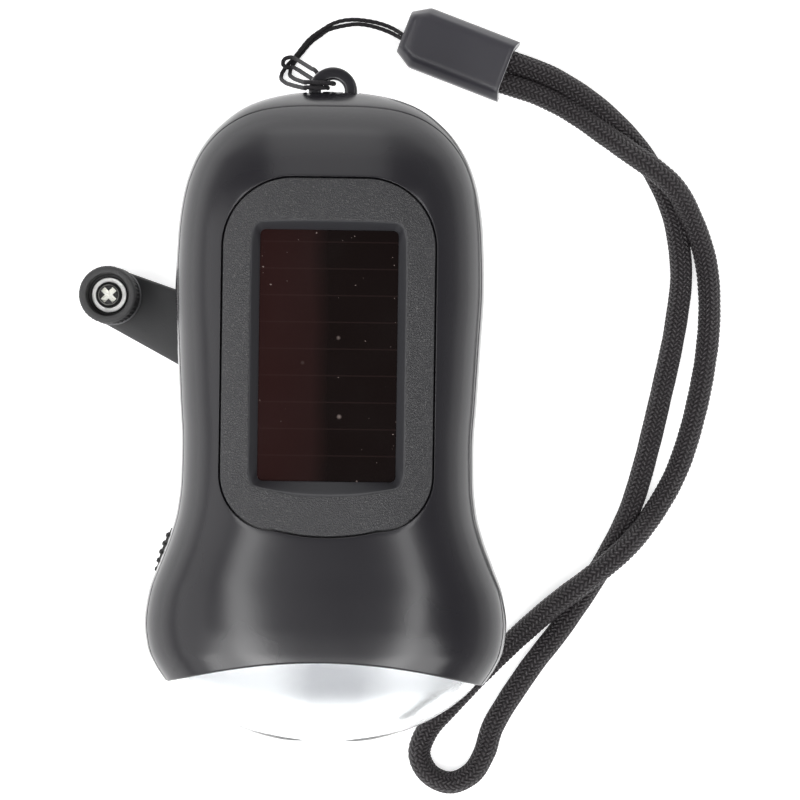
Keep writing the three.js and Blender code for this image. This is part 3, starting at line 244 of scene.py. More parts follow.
# Materials

# Where a noise has most of its values
NOISE = (0.3, 0.7)


class Nodes:
    """A material's node tree, with short calls for the nodes used here."""

    def __init__(self, name):
        self.material = bpy.data.materials.new(name)
        self.material.use_nodes = True
        self.tree = self.material.node_tree
        self.shader = next(n for n in self.tree.nodes if n.type == "BSDF_PRINCIPLED")
        self.place = self.add("ShaderNodeTexCoord").outputs["Object"]

    def add(self, kind, **settings):
        node = self.tree.nodes.new(kind)
        for key, value in settings.items():
            setattr(node, key, value)
        return node

    def put(self, socket, value):
        if isinstance(value, bpy.types.NodeSocket):
            self.tree.links.new(value, socket)
        else:
            socket.default_value = value

    def parts(self, vector):
        """The X, Y and Z of a vector."""
        node = self.add("ShaderNodeSeparateXYZ")
        self.put(node.inputs[0], vector)
        return node.outputs

    def distance(self, x, y, z):
        """How far the surface is from a place given in millimetres."""
        node = self.add("ShaderNodeVectorMath", operation="DISTANCE")
        self.put(node.inputs[0], self.place)
        node.inputs[1].default_value = (x * MM, y * MM, z * MM)
        return node.outputs["Value"]

    def stored(self, name):
        """A value stored with the mesh."""
        return self.add("ShaderNodeAttribute", attribute_name=name).outputs

    def set(self, **values):
        for key, value in values.items():
            self.put(self.shader.inputs[key.replace("_", " ")], value)

    def noise(self, scale, detail=2, roughness=0.5, place=None, stretch=None):
        node = self.add("ShaderNodeTexNoise")
        node.inputs["Scale"].default_value = scale
        node.inputs["Detail"].default_value = detail
        node.inputs["Roughness"].default_value = roughness
        place = self.place if place is None else place
        if stretch:
            mapping = self.add("ShaderNodeMapping")
            mapping.inputs["Scale"].default_value = stretch
            self.put(mapping.inputs["Vector"], place)
            place = mapping.outputs["Vector"]
        self.put(node.inputs["Vector"], place)
        return node.outputs["Fac"]

    def span(self, value, low, high, to_low=0.0, to_high=1.0):
        node = self.add("ShaderNodeMapRange")
        for key, v in zip(("Value", "From Min", "From Max", "To Min", "To Max"),
                          (value, low, high, to_low, to_high)):
            self.put(node.inputs[key], v)
        return node.outputs["Result"]

    def math(self, operation, a, b=0.0):
        node = self.add("ShaderNodeMath", operation=operation)
        self.put(node.inputs[0], a)
        self.put(node.inputs[1], b)
        return node.outputs[0]

    def mix(self, share, a, b):
        node = self.add("ShaderNodeMix", data_type="RGBA")
        self.put(node.inputs["Factor"], share)
        self.put(node.inputs[6], a)
        self.put(node.inputs[7], b)
        return node.outputs[2]

    def chosen(self, share, a, b):
        """a where the share is 0 and b where it is 1."""
        return self.span(share, 0.0, 1.0, a, b)

    def bump(self, height, strength, distance=0.0001, below=None):
        node = self.add("ShaderNodeBump")
        node.inputs["Strength"].default_value = strength
        node.inputs["Distance"].default_value = distance
        self.put(node.inputs["Height"], height)
        if below is not None:
            self.put(node.inputs["Normal"], below)
        self.put(self.shader.inputs["Normal"], node.outputs["Normal"])
        return node.outputs["Normal"]


def colour(r, g, b):
    return (r, g, b, 1.0)


def plastic(name, dark, light, rough, grain=2500, depth=0.00002, spread=0.08, shine=0.5):
    """Moulded plastic: clouded colour and gloss, and a fine grain in the surface."""
    n = Nodes(name)
    cloud = n.noise(45, 3)
    fine = n.noise(grain, 2)
    n.set(
        Base_Color=n.mix(cloud, colour(*dark), colour(*light)),
        Roughness=n.span(cloud, *NOISE, rough - spread / 2, rough + spread / 2),
        Specular_IOR_Level=shine,
    )
    n.bump(fine, 1.0, depth)
    return n.material


def grained():
    """Textured black plastic whose grain catches the light, with lighter specks painted in its
    colour as glints.
    """
    n = Nodes("grained_black")
    cloud = n.noise(60, 3)
    coarse, fine = n.noise(1500, 1), n.noise(4300, 2)
    # Painted glints: lighter specks in the colour
    specks = n.span(fine, 0.56, 0.72)
    n.set(Base_Color=n.mix(n.math("MULTIPLY", specks, 0.55), colour(0.0145, 0.0142, 0.0168),
                           colour(0.115, 0.112, 0.108)),
          Roughness=n.span(cloud, *NOISE, 0.3, 0.38))
    low = n.bump(coarse, 0.6, 0.00004)
    n.bump(fine, 1.0, 0.0002, below=low)
    return n.material


def metal(name, dark, light, rough, scratch=1500, depth=0.000004):
    """Metal that is clouded and finely scratched along Y."""
    n = Nodes(name)
    cloud = n.noise(300, 3)
    lines = n.noise(scratch, 2, stretch=(1, 0.12, 1))
    n.set(
        Base_Color=n.mix(cloud, colour(*dark), colour(*light)),
        Roughness=n.span(lines, *NOISE, rough - 0.05, rough + 0.07),
        Metallic=1.0,
    )
    n.bump(lines, 1.0, depth)
    return n.material


def braid_black():
    """The braid's strands, two over two, from the stored weave: turns round and steps along."""
    n = Nodes("braid_black")
    weave = n.parts(n.stored("weave")["Vector"])
    turn, run = weave["X"], weave["Y"]
    u, v = n.math("ADD", turn, run), n.math("SUBTRACT", turn, run)
    i, j = n.math("FLOOR", u), n.math("FLOOR", v)
    under = n.math("GREATER_THAN", n.math("FLOORED_MODULO", n.math("ADD", i, j), WEAVE_REPEAT),
                   WEAVE_OVER)
    along = n.math("ABSOLUTE", n.math("SUBTRACT", n.math(
        "FLOORED_MODULO", n.chosen(under, n.math("ADD", i, v), n.math("ADD", j, u)), 2.0), 1.0))
    across = n.math("ABSOLUTE", n.math("SUBTRACT", n.math(
        "MULTIPLY", n.math("FRACT", n.chosen(under, u, v)), 2.0), 1.0))
    height = n.math("MULTIPLY", n.math("SUBTRACT", 1.0, n.math("POWER", along, 4.0)),
                    n.math("SUBTRACT", 1.0, n.math("POWER", across, 2.0)))
    fibre = n.noise(5000, 2)
    # Painted shade: the colour darkens into the hollows between strands and lightens on their
    # crests, with fibre noise over it
    tone = n.math("MULTIPLY", height, n.span(fibre, *NOISE, 0.7, 1.0))
    n.set(Base_Color=n.mix(tone, colour(0.009, 0.0072, 0.0083), colour(0.034, 0.0285, 0.0315)),
          Roughness=n.span(height, 0.0, 1.0, 0.6, 0.27), Specular_IOR_Level=0.5)
    rough = n.bump(fibre, 0.4, 0.00003)
    n.bump(height, 1.0, 0.0002, below=rough)
    return n.material


def fabric(name, dark, light, rough=0.75, fibre=4000):
    """Dull fibres with darker gaps."""
    n = Nodes(name)
    strands = n.noise(fibre, 3, 0.6)
    n.set(
        Base_Color=n.mix(n.span(strands, 0.35, 0.7), colour(*dark), colour(*light)),
        Roughness=n.span(strands, *NOISE, rough - 0.1, rough + 0.1),
        Specular_IOR_Level=0.2,
    )
    n.bump(strands, 0.6, 0.00004)
    return n.material


casing_black = plastic("casing_black", (0.0122, 0.0114, 0.0142), (0.0157, 0.0148, 0.0178), 0.21,
                       grain=1800, depth=0.000006, spread=0.05)
grained_black = grained()
smooth_black = plastic("smooth_black", (0.02, 0.02, 0.023), (0.026, 0.026, 0.03), 0.3,
                       grain=1500, depth=0.000006)
# A darker copy of the knob's black for its ribbed side: painted shade
painted_shade_ribs = plastic("painted_shade_ribs", (0.005, 0.005, 0.006), (0.008, 0.008, 0.009), 0.62, shine=0.12)
# Lighter grey for the knob's foot lip: a painted highlight on its lit edge
painted_highlight_lip = plastic("painted_highlight_lip", (0.09, 0.09, 0.095), (0.13, 0.13, 0.135), 0.16)
arm_black = plastic("arm_black", (0.015, 0.015, 0.016), (0.022, 0.022, 0.024), 0.42,
                    grain=3000, depth=0.00002)
knob_black = plastic("knob_black", (0.022, 0.022, 0.023), (0.034, 0.034, 0.035), 0.55,
                     grain=3500, depth=0.00004)
sleeve_black = plastic("sleeve_black", (0.03, 0.0288, 0.036), (0.037, 0.0355, 0.0435), 0.33,
                       grain=2500, depth=0.000008)
cut_grey = plastic("cut_grey", (0.3, 0.3, 0.31), (0.4, 0.4, 0.41), 0.3)
inner_black = plastic("inner_black", (0.02, 0.02, 0.02), (0.03, 0.03, 0.03), 0.6)
foam_grey = plastic("foam_grey", (0.06, 0.06, 0.06), (0.1, 0.1, 0.1), 0.9, grain=1500,
                    depth=0.0002)
gear_white = plastic("gear_white", (0.68, 0.66, 0.6), (0.76, 0.75, 0.7), 0.4)
board_green = plastic("board_green", (0.02, 0.12, 0.05), (0.03, 0.17, 0.08), 0.35)
steel = metal("steel", (0.55, 0.55, 0.56), (0.7, 0.7, 0.71), 0.25)
washer_steel = metal("washer_steel", (0.72, 0.72, 0.71), (0.86, 0.86, 0.84), 0.5)
black_steel = metal("black_steel", (0.03, 0.03, 0.032), (0.06, 0.06, 0.063), 0.35)


def recessed_black():
    """A screw head coloured black, with bare metal colour at the bottom of its cross recess."""
    n = Nodes("screw_black")
    deep = n.span(n.parts(n.place)["Z"], *(z * MM for z in BARE_HEIGHTS))
    near = n.distance(KNOB_X, KNOB_Y, BARE_MIDDLE_Z)
    bare = n.math("MULTIPLY", deep, n.span(near, *(r * MM for r in BARE_RADII)))
    specks = n.noise(2600, 3)
    n.set(
        Base_Color=n.mix(bare, colour(0.012, 0.012, 0.012), colour(0.78, 0.78, 0.73)),
        Roughness=n.span(specks, *NOISE, 0.3, 0.45),
        Metallic=bare,
    )
    n.bump(specks, 1.0, 0.0003)
    return n.material


# The crank arm's direction and length, which give the knob's place
ARM_ANGLE = math.radians(156.5)
CRANK_RADIUS = 42.5
KNOB_X = CRANK_RADIUS * math.cos(ARM_ANGLE)
KNOB_Y = CRANK_RADIUS * math.sin(ARM_ANGLE)

# Where the knob's screw is coloured bare metal: heights and radii that it fades between, and its
# middle
BARE_HEIGHTS = (13.9, 13.7)
BARE_RADII = (1.86, 1.8)
BARE_MIDDLE_Z = 13.4

screw_black = recessed_black()
copper = metal("copper", (0.55, 0.25, 0.12), (0.7, 0.36, 0.18), 0.35, scratch=4000)
magnet_grey = metal("magnet_grey", (0.1, 0.1, 0.1), (0.16, 0.16, 0.17), 0.5)
cord_black = fabric("cord_black", (0.009, 0.008, 0.009), (0.027, 0.025, 0.028))


# Free cords

THIN_CORD = 0.76
WRIST_CORD = 3.75

# Out of the sleeve, through the eye, round itself, through the eye again and back
THIN_ROUTE = [
    (14.3, 63.5, 2.8), (11.71, 64.19, 2.5), (10.9, 64.79, 1.4), (9.55, 65.61, 0.6),
    (7.58, 66.31, 0.45), (5.21, 66.77, 0.45), (2.94, 66.94, 0.45), (0.81, 66.71, 0.45),
    (-1.02, 66.07, 0.5), (-2.78, 64.97, 0.6), (-4.25, 63.9, 0.9), (-5.35, 62.83, 1.15),
    (-6.23, 61.69, 1.2), (-7.11, 60.54, 1), (-8.09, 59.42, 0.5), (-9.02, 58.34, 0.45),
    (-9.71, 57.26, 0.5), (-9.85, 56.29, 1.4), (-9.13, 55.26, 5), (-7.71, 54.07, 13),
    (-5.93, 52.82, 23), (-4.71, 52.06, 29.5), (-4.6, 51.95, 32.5), (-3.2, 51.85, 33.15),
    (-1.9, 51.85, 33.1), (-1.05, 51.95, 32.3), (-0.9, 52.05, 30.6), (-1.1, 52.45, 28.5),
    (-2, 53.7, 27.9), (-2.94, 55.05, 27.2), (-4.05, 56.25, 21), (-5.59, 57.96, 11),
    (-6.91, 59.26, 4.2), (-7.94, 59.88, 2.4), (-8.88, 59.83, 1.9), (-9.53, 59.27, 1.5),
    (-9.44, 58.54, 1.7), (-8.71, 58.1, 2), (-7.93, 58.16, 2.2), (-6.96, 57.58, 4.5),
    (-5.68, 56.25, 12), (-4.27, 54.67, 21.5), (-3.35, 53.7, 27), (-2.75, 53.2, 28.9),
    (-1.3, 53.1, 29.25), (-0.15, 52.85, 29.6), (0.15, 52.75, 31.2), (-0.4, 52.7, 33),
    (-1.7, 52.68, 33.25), (-3.1, 52.72, 33.2), (-4.55, 52.85, 32.3), (-4.88, 53.5, 24),
    (-6.47, 54.8, 14), (-7.71, 56.06, 5), (-8.34, 57.1, 0.9), (-8.19, 57.96, 0.45),
    (-7.64, 58.99, 0.45), (-6.89, 60.15, 0.45), (-6.1, 61.09, 0.45), (-5.2, 62.21, 0.45),
    (-4.34, 63.08, 0.45), (-3.06, 64.02, 0.45), (-1.84, 64.93, 0.45), (-0.35, 65.48, 0.45),
    (1.35, 65.86, 0.45), (3.31, 66.14, 0.45), (5.25, 65.99, 0.45), (7.33, 65.5, 0.45),
    (9.3, 64.78, 0.6), (10.73, 63.99, 1.4), (11.63, 63.41, 2.5), (14, 62.7, 2.8),
]

# One loop from the sleeve back into it
WRIST_ROUTE = [
    (26.35, 61.15, 2.8), (31.3, 59.5, 2.9), (38.6, 56.8, 2.2), (45.8, 52.3, 2.03),
    (52, 46.6, 2.03), (56.8, 40.1, 2.03), (60.1, 32.8, 2.03), (61.7, 22.9, 2.03),
    (61, 14.4, 2.03), (59, 3.5, 2.03),
    (53.3, -19.3, 2.03), (48.2, -29.8, 2.03), (41.6, -40.2, 2.03), (35.6, -48.3, 2.03),
    (29.4, -58.4, 2.03), (27.9, -63.2, 2.03), (25.7, -66.8, 2.03), (22, -68.5, 2.03),
    (18.3, -67.1, 2.03), (16.4, -63.6, 2.03), (17.6, -59.6, 2.03), (22.2, -54.1, 2.03),
    (29.1, -46.8, 2.03), (34.9, -41.2, 2.3), (40.6, -36, 4.1), (45.4, -32.2, 5.6),
    (49.4, -28.9, 5.85), (53.3, -25.2, 5.2), (57.1, -20.4, 2.9), (61.4, -12.6, 2.03),
    (65, -0.1, 2.03), (66.8, 13.9, 2.03), (66, 24.9, 2.1), (62.9, 32.9, 4), (60.4, 37.1, 5.3),
    (56.9, 40.3, 5.85), (52.6, 43.3, 5.3), (48, 46.7, 3.6), (41, 51.5, 2.2), (35.4, 54.1, 2.4),
    (29.8, 55.85, 2.8), (24.85, 57.5, 2.8),
]
SPLINE_STEPS = 60


def centripetal(points, spacing):
    """An evenly spaced centripetal spline through the points."""
    p = np.array(points, float)
    p = np.vstack([2 * p[0] - p[1], p, 2 * p[-1] - p[-2]])
    out = []
    for i in range(1, len(p) - 2):
        p0, p1, p2, p3 = p[i - 1:i + 3]
        t0, t1, t2 = (max(np.linalg.norm(b - a), 1e-4) ** 0.5
                      for a, b in ((p0, p1), (p1, p2), (p2, p3)))
        m1 = ((p1 - p0) / t0 - (p2 - p0) / (t0 + t1) + (p2 - p1) / t1) * t1
        m2 = ((p2 - p1) / t1 - (p3 - p1) / (t1 + t2) + (p3 - p2) / t2) * t1
        t = np.linspace(0, 1, SPLINE_STEPS, endpoint=False)[:, None]
        out.append(hermite(t, p1, m1, p2, m2))
    line = np.vstack(out + [p[-2]])
    run = np.concatenate([[0], np.cumsum(np.linalg.norm(np.diff(line, axis=0), axis=1))])
    at = np.linspace(0, run[-1], int(run[-1] / spacing) + 1)
    return np.stack([np.interp(at, run, line[:, k]) for k in range(3)], -1), at


def frames(line):
    """Side directions along a line that turn as little as they can."""
    along = unit(np.gradient(line, axis=0))
    side = unit(np.cross(along[0], (0, 0, 1)))
    sides = []
    for t in along:
        side = unit(side - np.dot(side, t) * t)
        sides.append(side)
    sides = np.array(sides)
    return sides, np.cross(along, sides)


def mark_weave(obj, sides, around, along):
    """Stores turns round a tube and steps along it at each face corner."""
    mesh = obj.data
    corner = np.zeros(len(mesh.loops), int)
    mesh.loops.foreach_get("vertex_index", corner)
    ring, side = np.divmod(corner, sides)
    face = np.repeat(np.arange(len(mesh.polygons)), [p.loop_total for p in mesh.polygons])
    last = np.zeros(len(mesh.polygons), bool)
    np.logical_or.at(last, face, side == sides - 1)
    side = np.where((side == 0) & last[face], sides, side)
    weave = mesh.attributes.new("weave", "FLOAT_VECTOR", "CORNER")
    values = np.zeros((len(corner), 3), np.float32)
    values[:, 0], values[:, 1] = side / sides * around, ring * along
    weave.data.foreach_set("vector", values.ravel())


def tube(name, line, radius, sides):
    """A cord's skin; the radius is a call on (angle, length) arrays."""
    line, at = line
    a, b = frames(line)
    angle = turns(sides)
    r = radius(angle[None, :], at[:, None])[..., None]
    rings = line[:, None] + r * (
        np.cos(angle)[None, :, None] * a[:, None] + np.sin(angle)[None, :, None] * b[:, None]
    )
    return ring_object(name, rings, sharp=180)


THIN_SPACING = 0.14
THIN_SIDES = 14
THIN_STRANDS = 3
THIN_LAY = 1.1
THIN_RELIEF_SHARES = (0.95, 0.06)


def twisted(angle, at):
    """Strands laid round each other."""
    low, relief = THIN_RELIEF_SHARES
    return THIN_CORD / 2 * (
        low + relief * np.cos(THIN_STRANDS * angle + at * 2 * np.pi / THIN_LAY)
    )


# Cells round the braid, the length of one, and the steps in each
BRAID_CELLS = 14
BRAID_STEP = 0.86
BRAID_PARTS = 5
BRAID_SIDES = BRAID_CELLS * BRAID_PARTS
BRAID_RELIEF_SHARES = (0.96, 0.12)
BRAID_UNEVEN_SHARE = 0.015

# The pattern comes back after four cells, and past this number of them a strand runs under
WEAVE_REPEAT = 4.0
WEAVE_OVER = 1.5


def braided(angle, at):
    """Two sets of strands, each of which runs over two of the other and under two."""
    turn, run = angle * BRAID_CELLS / (2 * np.pi), at / BRAID_STEP
    u, v = turn + run, turn - run
    i, j = np.floor(u), np.floor(v)
    under = (i + j) % WEAVE_REPEAT > WEAVE_OVER
    along = np.where(under, j + u, i + v) % 2 - 1
    across = 2 * np.where(under, v - j, u - i) - 1
    bump = (1 - along**4) * (1 - across**2)
    slow = BRAID_UNEVEN_SHARE * np.sin(at * 0.9) * np.sin(angle * 2 + at * 0.3)
    low, relief = BRAID_RELIEF_SHARES
    return WRIST_CORD / 2 * (low + relief * bump + slow)


thin_line = centripetal(THIN_ROUTE, THIN_SPACING)
wrist_line = centripetal(WRIST_ROUTE, BRAID_STEP / BRAID_PARTS)
thin_cord = tube("thin_cord", thin_line, twisted, THIN_SIDES)
wrist_cord = tube("wrist_cord", wrist_line, braided, BRAID_SIDES)
dress(thin_cord, "casing", cord_black, ["thin_cord"])
mark_weave(wrist_cord, BRAID_SIDES, BRAID_CELLS,
           (wrist_line[1][1] - wrist_line[1][0]) / BRAID_STEP)
dress(wrist_cord, "casing", braid_black(), ["wrist_cord"])

SLEEVE_LENGTH = 20
SLEEVE_WIDTH = 11.3
SLEEVE_HEIGHT = 5.6
SLEEVE_PLACE = (21.3, 61.2)
SLEEVE_ANGLE = math.radians(-20.4)
SLEEVE_CHAMFER = (3, 1.9)
SLEEVE_WALL = 0.7
SLEEVE_POCKET = 6
SLEEVE_SCOOP = 0.7
SCOOP_POWER = 1.5
SLEEVE_EDGE = 0.08

# Rings of the nose: place from its end, and what widens it and lowers it there
SLEEVE_NOSE = ((0.12, -0.35, 1.6), (0, -0.1, 1.1), (0.02, 0.02, 0.8), (0.2, 0.16, 0.35))

# Corners of the section in shares of its half width and height, and how far each is rounded
SECTION_SHARES = ((1, 0.35), (0.74, 1), (-0.74, 1), (-1, 0.35), (-1, -0.35), (-0.74, -1),
                  (0.74, -1), (1, -0.35))
SECTION_ROUND = (0.35, 0.22)


def sleeve_section():
    """The flattened tube's section: folded, not round."""
    corners = np.array(SECTION_SHARES)
    most, reach = SECTION_ROUND
    points = []
    for a, b, c in zip(np.roll(corners, 1, 0), corners, np.roll(corners, -1, 0)):
        start, end = (b + (p - b) * min(most, reach / np.linalg.norm(b - p)) for p in (a, c))
        points += [bow(t, start, b, end) for t in np.linspace(0, 1, 7)]
    return np.array(points).T


def make_sleeve():
    half, wide, high = SLEEVE_LENGTH / 2, SLEEVE_WIDTH / 2, SLEEVE_HEIGHT / 2
    long, short = SLEEVE_CHAMFER
    across, up = sleeve_section()

    def ring(x, side, height, scoop=0.0):
        return np.stack([x - scoop * np.abs(up) ** SCOOP_POWER, across * side, up * height], -1)

    inner = wide - SLEEVE_WALL, high - SLEEVE_WALL
    rings = [
        *(ring(-half + x, wide - short + y, high - z) for x, y, z in SLEEVE_NOSE),
        ring(-half + 1.2, wide - short * 0.6, high - 0.03),
        ring(-half + long - 0.3, wide - 0.2, high),
        ring(-half + long, wide - 0.06, high),
        ring(-half + long + 0.5, wide, high),
        ring(0, wide, high),
        ring(half - 1.6, wide, high),
        ring(half - SLEEVE_EDGE, wide, high, SLEEVE_SCOOP),
        ring(half, wide - SLEEVE_EDGE, high - SLEEVE_EDGE, SLEEVE_SCOOP),
        ring(half, *(size + SLEEVE_EDGE for size in inner), SLEEVE_SCOOP),
        ring(half - SLEEVE_EDGE, *inner, SLEEVE_SCOOP),
        ring(half - SLEEVE_POCKET, *inner),
    ]
    rings = np.array(rings)
    x, y = rings[..., 0].copy(), rings[..., 1].copy()
    co, si = math.cos(SLEEVE_ANGLE), math.sin(SLEEVE_ANGLE)
    rings[..., 0] = x * co - y * si + SLEEVE_PLACE[0]
    rings[..., 1] = x * si + y * co + SLEEVE_PLACE[1]
    rings[..., 2] += high
    return ring_object("cord_sleeve", rings, sharp=60)


def on_cut_end(x, y, z):
    """Whether a place is on the sleeve's open end."""
    along = ((x - SLEEVE_PLACE[0]) * math.cos(SLEEVE_ANGLE)
             + (y - SLEEVE_PLACE[1]) * math.sin(SLEEVE_ANGLE))
    up = abs(2 * z / SLEEVE_HEIGHT - 1)
    return along > SLEEVE_LENGTH / 2 - 0.06 - SLEEVE_SCOOP * up**SCOOP_POWER * 1.3


sleeve = dress(make_sleeve(), "casing", sleeve_black, ["cord_sleeve"])
also(sleeve, cut_grey, on_cut_end)


# Casing skin

TAIL_Y = 51.4
BODY_LENGTH = 100
HALF_WIDTH = 30.6
EQUATOR_Z = 31
FRONT_RISE = 15
BACK_DROP = 13.8
WALL = 2.2
SEAM_Z = 37
SEAM_GAP = 0.14
RIM_ARCH = 4.1
RIM_LIP = 1
LENS_SEAT = 3
FRONT_POWER = 3
BACK_POWER = 2.5
HEAD_Y = TAIL_Y - BODY_LENGTH
CENTRE_Y = 6.25

# Least size left where a wall closes on itself, longest reach looked for, and how often the
# search for a reach halves it
LEAST = 0.01
FAR = 90.0
HALVINGS = 44

# Share of the body's length from the tail, then half width, front rise and back drop
BODY_SHARES = np.array([
    (0, 0, 0, 0), (0.012, 0.34, 0.22, 0.2), (0.029, 0.484, 0.4, 0.34), (0.055, 0.6, 0.58, 0.48),
    (0.085, 0.69, 0.72, 0.6), (0.125, 0.765, 0.84, 0.72), (0.18, 0.818, 0.925, 0.84),
    (0.25, 0.845, 0.965, 0.94), (0.334, 0.853, 0.98, 1), (0.43, 0.838, 0.985, 1),
    (0.52, 0.822, 0.985, 1), (0.6, 0.807, 0.985, 1), (0.66, 0.81, 0.985, 1),
    (0.71, 0.827, 0.988, 1), (0.755, 0.866, 0.99, 1), (0.8, 0.921, 0.995, 1),
    (0.85, 0.979, 1, 1), (0.9, 1, 0.995, 1), (0.942, 0.983, 0.978, 0.985),
    (0.972, 0.94, 0.953, 0.962), (1, 0.879, 0.92, 0.93),
])


class Smooth:
    """A smooth curve through points that never overshoots them."""

    def __init__(self, x, y):
        self.x, self.y = np.asarray(x, float), np.asarray(y, float)
        h = np.diff(self.x)
        d = np.diff(self.y) / h
        m = np.empty(len(self.x))
        m[0], m[-1] = d[0], d[-1]
        w1, w2 = 2 * h[1:] + h[:-1], h[1:] + 2 * h[:-1]
        same = d[:-1] * d[1:] > 0
        safe = np.where(same, d[:-1], 1), np.where(same, d[1:], 1)
        m[1:-1] = np.where(same, (w1 + w2) / (w1 / safe[0] + w2 / safe[1]), 0)
        self.m = m

    def __call__(self, at):
        at = np.clip(at, self.x[0], self.x[-1])
        i = np.clip(np.searchsorted(self.x, at) - 1, 0, len(self.x) - 2)
        h = self.x[i + 1] - self.x[i]
        t = (at - self.x[i]) / h
        return hermite(t, self.y[i], self.m[i], self.y[i + 1], self.m[i + 1], h)


size_curves = [
    Smooth(np.sqrt(BODY_SHARES[:, 0]), BODY_SHARES[:, k] * full)
    for k, full in ((1, HALF_WIDTH), (2, FRONT_RISE), (3, BACK_DROP))
]
rim_half = BODY_SHARES[-1][1] * HALF_WIDTH


def sizes(y):
    """Half width, front rise and back drop of the skin at a place along the body."""
    share = np.clip((TAIL_Y - np.asarray(y, float)) / BODY_LENGTH, 0, 1)
    return [curve(np.sqrt(share)) for curve in size_curves]


def rim_y(x):
    """The arched rim above the lens."""
    return HEAD_Y + RIM_ARCH * (1 - (np.asarray(x) / rim_half) ** 2)


def skin_z(x, y, inset, side):
    """Height of the skin's front (side 1) or back (side -1)."""
    w, front, back = sizes(y)
    reach, power = (front, FRONT_POWER) if side > 0 else (back, BACK_POWER)
    w, reach = np.maximum(w - inset, LEAST), np.maximum(reach - inset, LEAST)
    share = np.minimum(np.abs(x) / w, 1)
    return EQUATOR_Z + side * reach * (1 - share**power) ** (1 / power)


def front_z(x, y):
    return skin_z(x, y, 0, 1)


def back_z(x, y, inset=0):
    return skin_z(x, y, inset, -1)


def in_skin(x, y, z, inset=0):
    """Whether a place is inside the skin."""
    w, front, back = (size - inset for size in sizes(y))
    rise = z - EQUATOR_Z
    reach = np.where(rise >= 0, front, back)
    power = np.where(rise >= 0, FRONT_POWER, BACK_POWER)
    good = (w > 0) & (reach > 0)
    w, reach = np.maximum(w, LEAST), np.maximum(reach, LEAST)
    return good & ((np.abs(x) / w) ** power + (np.abs(rise) / reach) ** power < 1)


def reach_of(path, test, count):
    """How far along each path a test holds."""
    low, high = np.zeros(count), np.full(count, FAR)
    for _ in range(HALVINGS):
        middle = (low + high) / 2
        good = test(*path(middle))
        low, high = np.where(good, middle, low), np.where(good, high, middle)
    return low


def bend(a, corner, b, steps=4, ends=(True, True)):
    """Rows along a rounded edge from a to b about its corner."""
    first, last = 0 if ends[0] else 1, steps if ends[1] else steps - 1
    return [bow(i / steps, a, corner, b) for i in range(first, last + 1)]


def outline_points(half_x, low_y, high_y, low_r, high_r, crown=0.0):
    """A rounded outline whose low side may bow outward, as dense points."""
    points = []
    for t in np.linspace(0, 1, 200, endpoint=False):
        x = (half_x - low_r) * (2 * t - 1)
        points.append((x, low_y + crown / 2 - 2 * t * (1 - t) * crown))
    for x, y, r, start in (
        (half_x - low_r, low_y + crown / 2 + low_r, low_r, -90),
        (half_x - high_r, high_y - high_r, high_r, 0),
        (-half_x + high_r, high_y - high_r, high_r, 90),
        (-half_x + low_r, low_y + crown / 2 + low_r, low_r, 180),
    ):
        for t in np.linspace(0, 90, 60, endpoint=False):
            a = math.radians(start + t)
            points.append((x + r * math.cos(a), y + r * math.sin(a)))
    return dense(np.array(points))


def dense(points, step=0.1):
    """A closed outline with points no farther apart than about a step."""
    out = []
    for a, b in zip(points, np.roll(points, -1, 0)):
        n = max(1, int(np.linalg.norm(b - a) / step))
        out.append(a + (b - a) * np.linspace(0, 1, n, endpoint=False)[:, None])
    return np.vstack(out)


def radius_at(points, angles):
    """An outline's reach from the panel's centre, at the given angles."""
    d = points - (0, CENTRE_Y)
    a = np.arctan2(d[:, 1], d[:, 0]) % (2 * np.pi)
    r = np.hypot(d[:, 0], d[:, 1])
    order = np.argsort(a)
    a, r = a[order], r[order]
    a, r = np.concatenate([a - 2 * np.pi, a, a + 2 * np.pi]), np.tile(r, 3)
    return np.interp(angles % (2 * np.pi), a, r)


# Outlines about the panel: half width, low and high y, low and high corner radius, bow
PANEL = (17.6, -23.4, 35.9, 9, 11.5, 2.2)
RECESS = (13.6, -16.9, 29.3, 1.9, 2.3, 2.4)
WINDOW = (11.5, -14.4, 27.4, 0.9, 0.9)
WINDOW_CORNERS = [(x, y) for x in (-11.2, 11.2) for y in (-14.1, 27.1)]


def panel_outline(grow):
    half_x, low_y, high_y, low_r, high_r, crown = PANEL
    return outline_points(half_x + grow, low_y - grow, high_y + grow, low_r + grow,
                          high_r + grow, crown)


def at_ray(angles, r, z):
    """Points at a reach along the rays from the panel's centre."""
    x, y = np.cos(angles) * r, CENTRE_Y + np.sin(angles) * r
    z = z(x, y) if callable(z) else np.broadcast_to(z, x.shape)
    return np.stack([x, y, z], -1)


# Angle between the two rows of points at a corner
CORNER_SPLIT = 2e-4


def stations(count, *special):
    """Angles round a turn, with two more at each special one."""
    angles = turns(count)
    extra = [a + d for a in special for d in (-CORNER_SPLIT, CORNER_SPLIT)]
    return np.unique(np.concatenate([angles, np.mod(extra, 2 * np.pi)]))


# The front shell's ledge under the panel, its rounded edges and its faces at the seam
LEDGE_WIDTH = 3
LEDGE_DEPTH = 1.35
EDGE_ROUND = 0.16
RIM_ROUND = 0.4
SEAM_ROUND = 0.1
SEAM_TURN = 0.3
SEAM_FACE = (1, 2)


